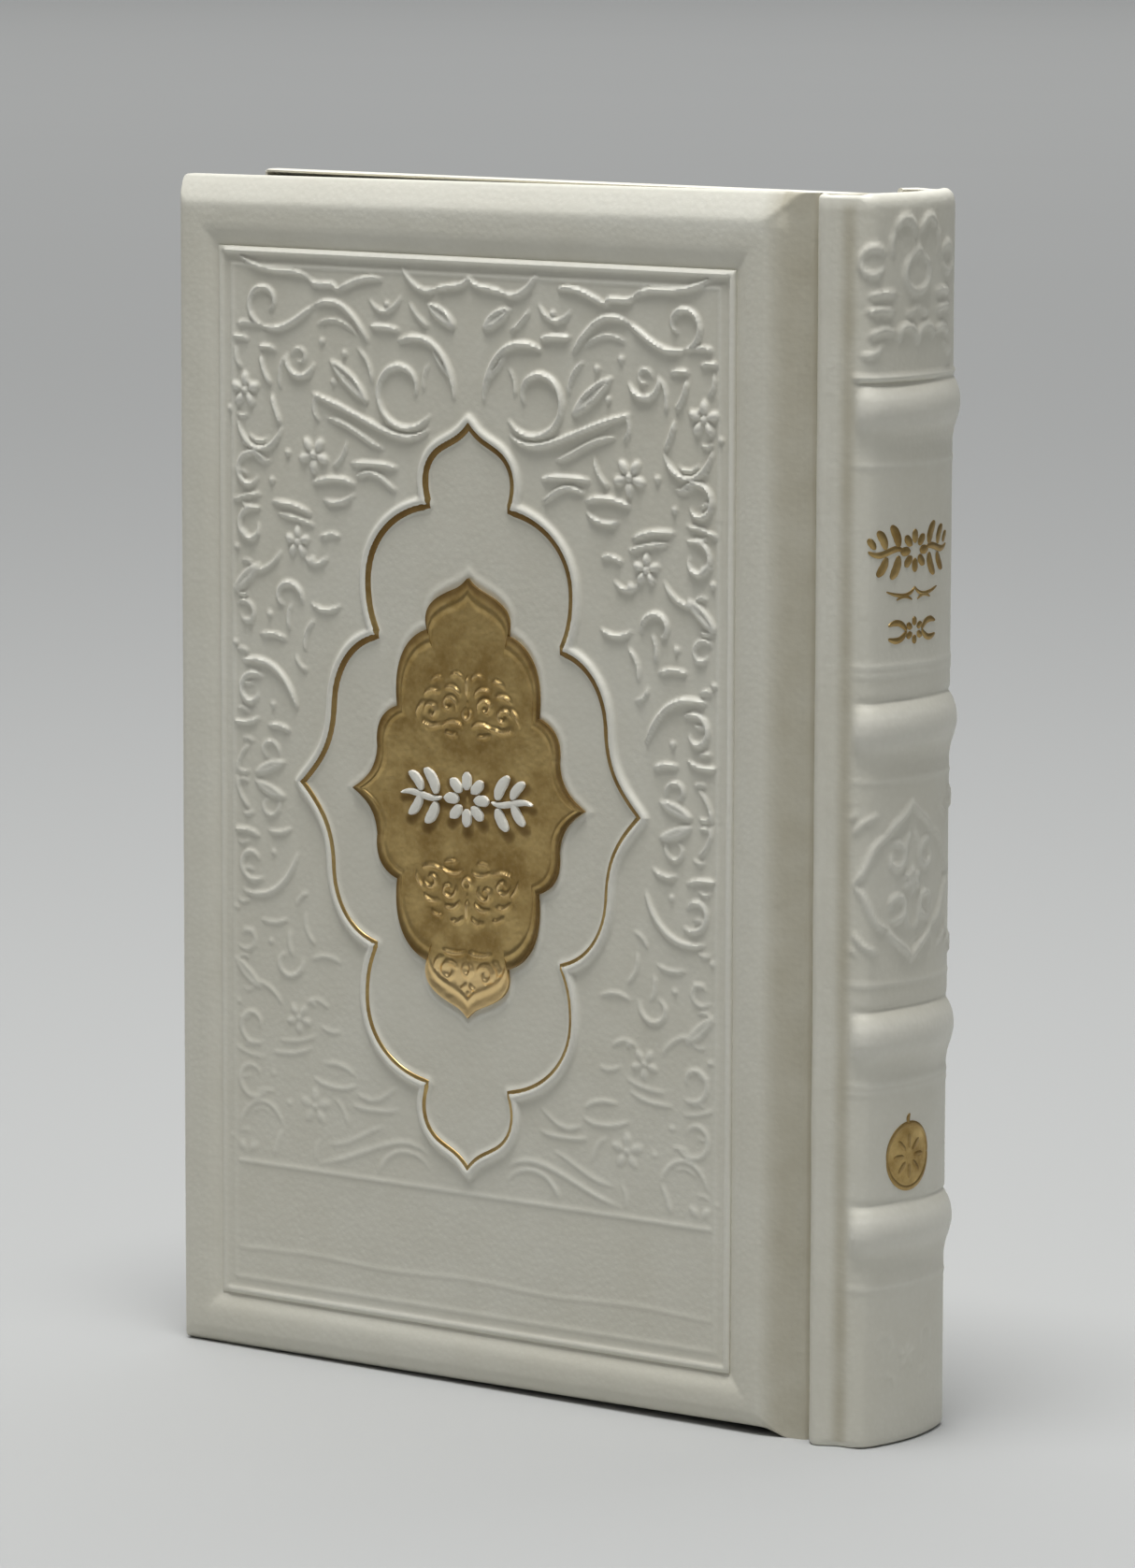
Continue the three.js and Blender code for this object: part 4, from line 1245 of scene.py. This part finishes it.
def makeSpineGold():
    spray = [
        (curve((2.4, 0), (4.4, 1.5), (6.4, -1.4), (8.6, 0.3)), 0.95),
        (curve((3.4, 0.7), (3.4, 2.4), (4.9, 3.7)), 1.5),
        (curve((3.4, -0.5), (3.4, -2.4), (4.9, -3.6)), 1.5),
        (curve((5.8, 0.5), (6.0, 2.2), (7.3, 3.0)), 1.35),
        (curve((5.6, -0.6), (6.0, -2.2), (7.3, -3.1)), 1.35),
        (curve((7.6, 0.6), (8.0, 1.5), (8.7, 2.0)), 1.0),
    ]
    spineFoil("spineUpperGold", "spine_upper_foil_ornament",
              petals((0, 0), 3.0, 8, 1.3) + mirrored(spray), 126.5)
    flourish = [
        (curve((0.0, 0.9), (0.8, -0.5), (3.0, -0.5), (5.6, 0.5)), 0.55),
        (curve((0.6, -0.9), (2.1, 0.1), (3.7, -0.8)), 0.45),
    ]
    spineFoil("spineFlourishGold", "spine_foil_flourish", mirrored(flourish), 120.6)
    small = [
        (curve((1.7, 0), (2.9, 1.9), (5.2, 0.9)), 0.9),
        (curve((1.7, 0), (2.9, -1.9), (5.2, -0.9)), 0.9),
    ]
    spineFoil("spineSmallGold", "spine_small_foil_ornament",
              petals((0, 0), 1.9, 6, 1.0, 30) + mirrored(small), 115.4)
    angle = np.linspace(0, 2 * math.pi, 57)
    oval = np.stack([4.5 * np.cos(angle), -0.5 + 4.6 * np.sin(angle)], -1)
    seal = [(oval[:30], 0.75), (oval[28:], 0.75), (curve((0, 4.1), (-0.6, 4.8), (0.1, 5.5)), 0.7)]
    seal += petals((0, -0.5), 3.2, 8, 0.8)
    spineFoil("spineSealGold", "spine_foil_seal", seal, 41.6, ground=(4.3, 4.4, -0.5))


makeSpineGold()
print("spine made")


# Turned-in edges inside each cover, mitred at the corners.
turnInLook = {"width": 13.5, "inner": 8.2, "thickness": 0.35, "edge": 1.0}


def makeTurnIns(name, side, look):
    e, w = look["edge"], look["width"]
    end = coverSkin["length"] - 0.3
    outer = [(end, e), (e, e), (e, bookHeight - e), (end, bookHeight - e)]
    inner = [(end, e + w), (e + w, e + w), (e + w, bookHeight - e - w), (end, bookHeight - e - w)]
    points, faces = [], []
    for k in range(3):
        a, b = np.array(outer[k]), np.array(outer[k + 1])
        c, d = np.array(inner[k]), np.array(inner[k + 1])
        lift = 0.04 * (k == 1)
        rows = []
        for across, under in [(k, False) for k in (0, 0.03, 0.5, 0.97, 1)] + [(1, True), (0, True)]:
            line = curve(a + (c - a) * across, b + (d - b) * across, steps=40)
            depth = np.full(len(line), look["inner"] + look["thickness"])
            if not under:
                low = look["thickness"] * (0.6 if across in (0, 1) else 0) - lift
                depth = look["inner"] + low + 0.02 * waver(line[:, 0], line[:, 1], 14, 9)
            rows.append(np.stack([line[:, 0], side * depth, line[:, 1]], -1))
        faces += tubeFaces(len(rows), len(rows[0]), len(points))
        points.extend(np.concatenate(rows).tolist())
    piece = finishMesh(f"{name}TurnIns", points, faces, leather, 40)
    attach(piece, f"{name}_cover")


for coverName, coverSide in (("front", -1), ("back", 1)):
    makeTurnIns(coverName, coverSide, turnInLook)


# Foam pads under the leather: crowned sheets that thin out to their edges.
padLook = {"low": 10.5, "rim": 0.12, "high": 11.05, "edge": 1.6, "end": 106.2}


def makePad(name, side, look):
    edge, top = look["edge"], bookHeight - look["edge"]
    s, z = np.meshgrid(np.linspace(edge, look["end"], 60), np.linspace(edge, top, 90), indexing="ij")
    crown = smoothStep(inset(s, z, edge, look["end"], edge, top), 0, 5)
    high = look["low"] + look["rim"] + (look["high"] - look["low"] - look["rim"]) * crown
    points, faces = slabSolid(np.stack([s, side * high, z], -1), side * look["low"])
    piece = finishMesh(f"{name}FoamPad", points, faces, foam, 50)
    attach(piece, f"{name}_cover")
    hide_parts(f"{name}_pad")


makePad("front", -1, padLook)
makePad("back", 1, padLook)
print("turn-ins and pads made")


# Free leaves: slightly wavy sheets that reach to the shoulder of the text block.
leafLook = {
    "start": 3.2, "root": 113.2, "margin": 3.05, "thickness": 0.16, "waviness": 0.03,
    "bendFrom": 112.6, "bendTo": 98.0,
}


def makeLeaf(name, node, side, depth, look):
    along = np.concatenate([np.linspace(look["start"], 96, 30), np.linspace(97, look["root"], 34)])
    up = np.linspace(look["margin"], bookHeight - look["margin"], 40)
    s, z = np.meshgrid(along, up, indexing="ij")
    y = depth + waver(s, z, 60, 11 + int(depth * 10)) * look["waviness"]
    points, faces = sheetSolid(np.stack([s, side * y, z], -1), look["thickness"])
    piece = finishMesh(name, points, faces, endSheet, 50)
    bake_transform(piece)
    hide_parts(node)


for coverName, coverSide in (("front", -1), ("back", 1)):
    makeLeaf(f"{coverName}Flyleaf", f"{coverName}_flyleaf", coverSide, 7.74, leafLook)
    makeLeaf(f"{coverName}InnerLeaf", f"{coverName}_inner_leaf", coverSide, 7.34, leafLook)


# CAD nodes that keep their shape get their finish from the record's slots.
for entry in frame["record"]["subparts"]:
    node = frame["nodes"][entry["node"]]
    node.data.materials.clear()
    node.data.materials.append(slotMaterials[entry["material_slot"]])
print("leaves and finishes made")


floorLook = {"colour": "#B1B2B1", "shade": "#ABACAB", "size": 30.0}


# Matt painted board: nearly even, with a faint cloudiness.
def makeFloor(look):
    material, tree, shader, place = startMaterial("mattPaintedBoard")
    cloud = noise(tree, place, 400, 2)
    base = mixColour(tree, scaled(tree, cloud, 0, 0.25), look["colour"], look["shade"])
    paint(tree, shader, base, 0.8)
    half = look["size"]
    mesh = bpy.data.meshes.new("floor")
    mesh.from_pydata([(-half, -half, 0), (half, -half, 0), (half, half, 0), (-half, half, 0)], [],
                     [(0, 1, 2, 3)])
    mesh.materials.append(material)
    floor = bpy.data.objects.new("floor", mesh)
    bpy.context.scene.collection.objects.link(floor)


lightLook = {
    "overhead": {"at": (0.08, -0.24, 1.45), "aim": (0, 0, 0.09), "size": 0.6, "watts": 20.5},
    "side": {"at": (1.9, -0.5, 0.9), "aim": (0, 0, 0.09), "size": 1.2, "watts": 1.4},
    "background": {"at": (-3.2, 4.4, 2.8), "aim": (-3.2, 4.4, 0), "size": 10.0, "watts": 205},
}
worldLook = {"colour": "#C9CBCC", "low": 0.09, "high": 0.45}     # brighter overhead, like a light ceiling


def makeLights(lights, surround):
    for name, s in lights.items():
        data = bpy.data.lights.new(name, "AREA")
        data.shape = "DISK"
        data.size = s["size"]
        data.energy = s["watts"]
        lamp = bpy.data.objects.new(name, data)
        lamp.location = s["at"]
        lamp.rotation_euler = (Vector(s["at"]) - Vector(s["aim"])).to_track_quat("Z", "Y").to_euler()
        bpy.context.scene.collection.objects.link(lamp)
    world = bpy.data.worlds.new("studio")
    world.use_nodes = True
    background = world.node_tree.nodes["Background"]
    background.inputs["Color"].default_value = linear(surround["colour"])
    tree = world.node_tree
    sky = axisOf(tree, add(tree, "ShaderNodeTexCoord").outputs["Generated"], "Z")
    tree.links.new(scaled(tree, sky, surround["low"], surround["high"], 0.1, 0.95),
                   background.inputs["Strength"])
    bpy.context.scene.world = world


makeFloor(floorLook)
makeLights(lightLook, worldLook)
bpy.context.scene.view_settings.view_transform = "Standard"
print("floor and light set")
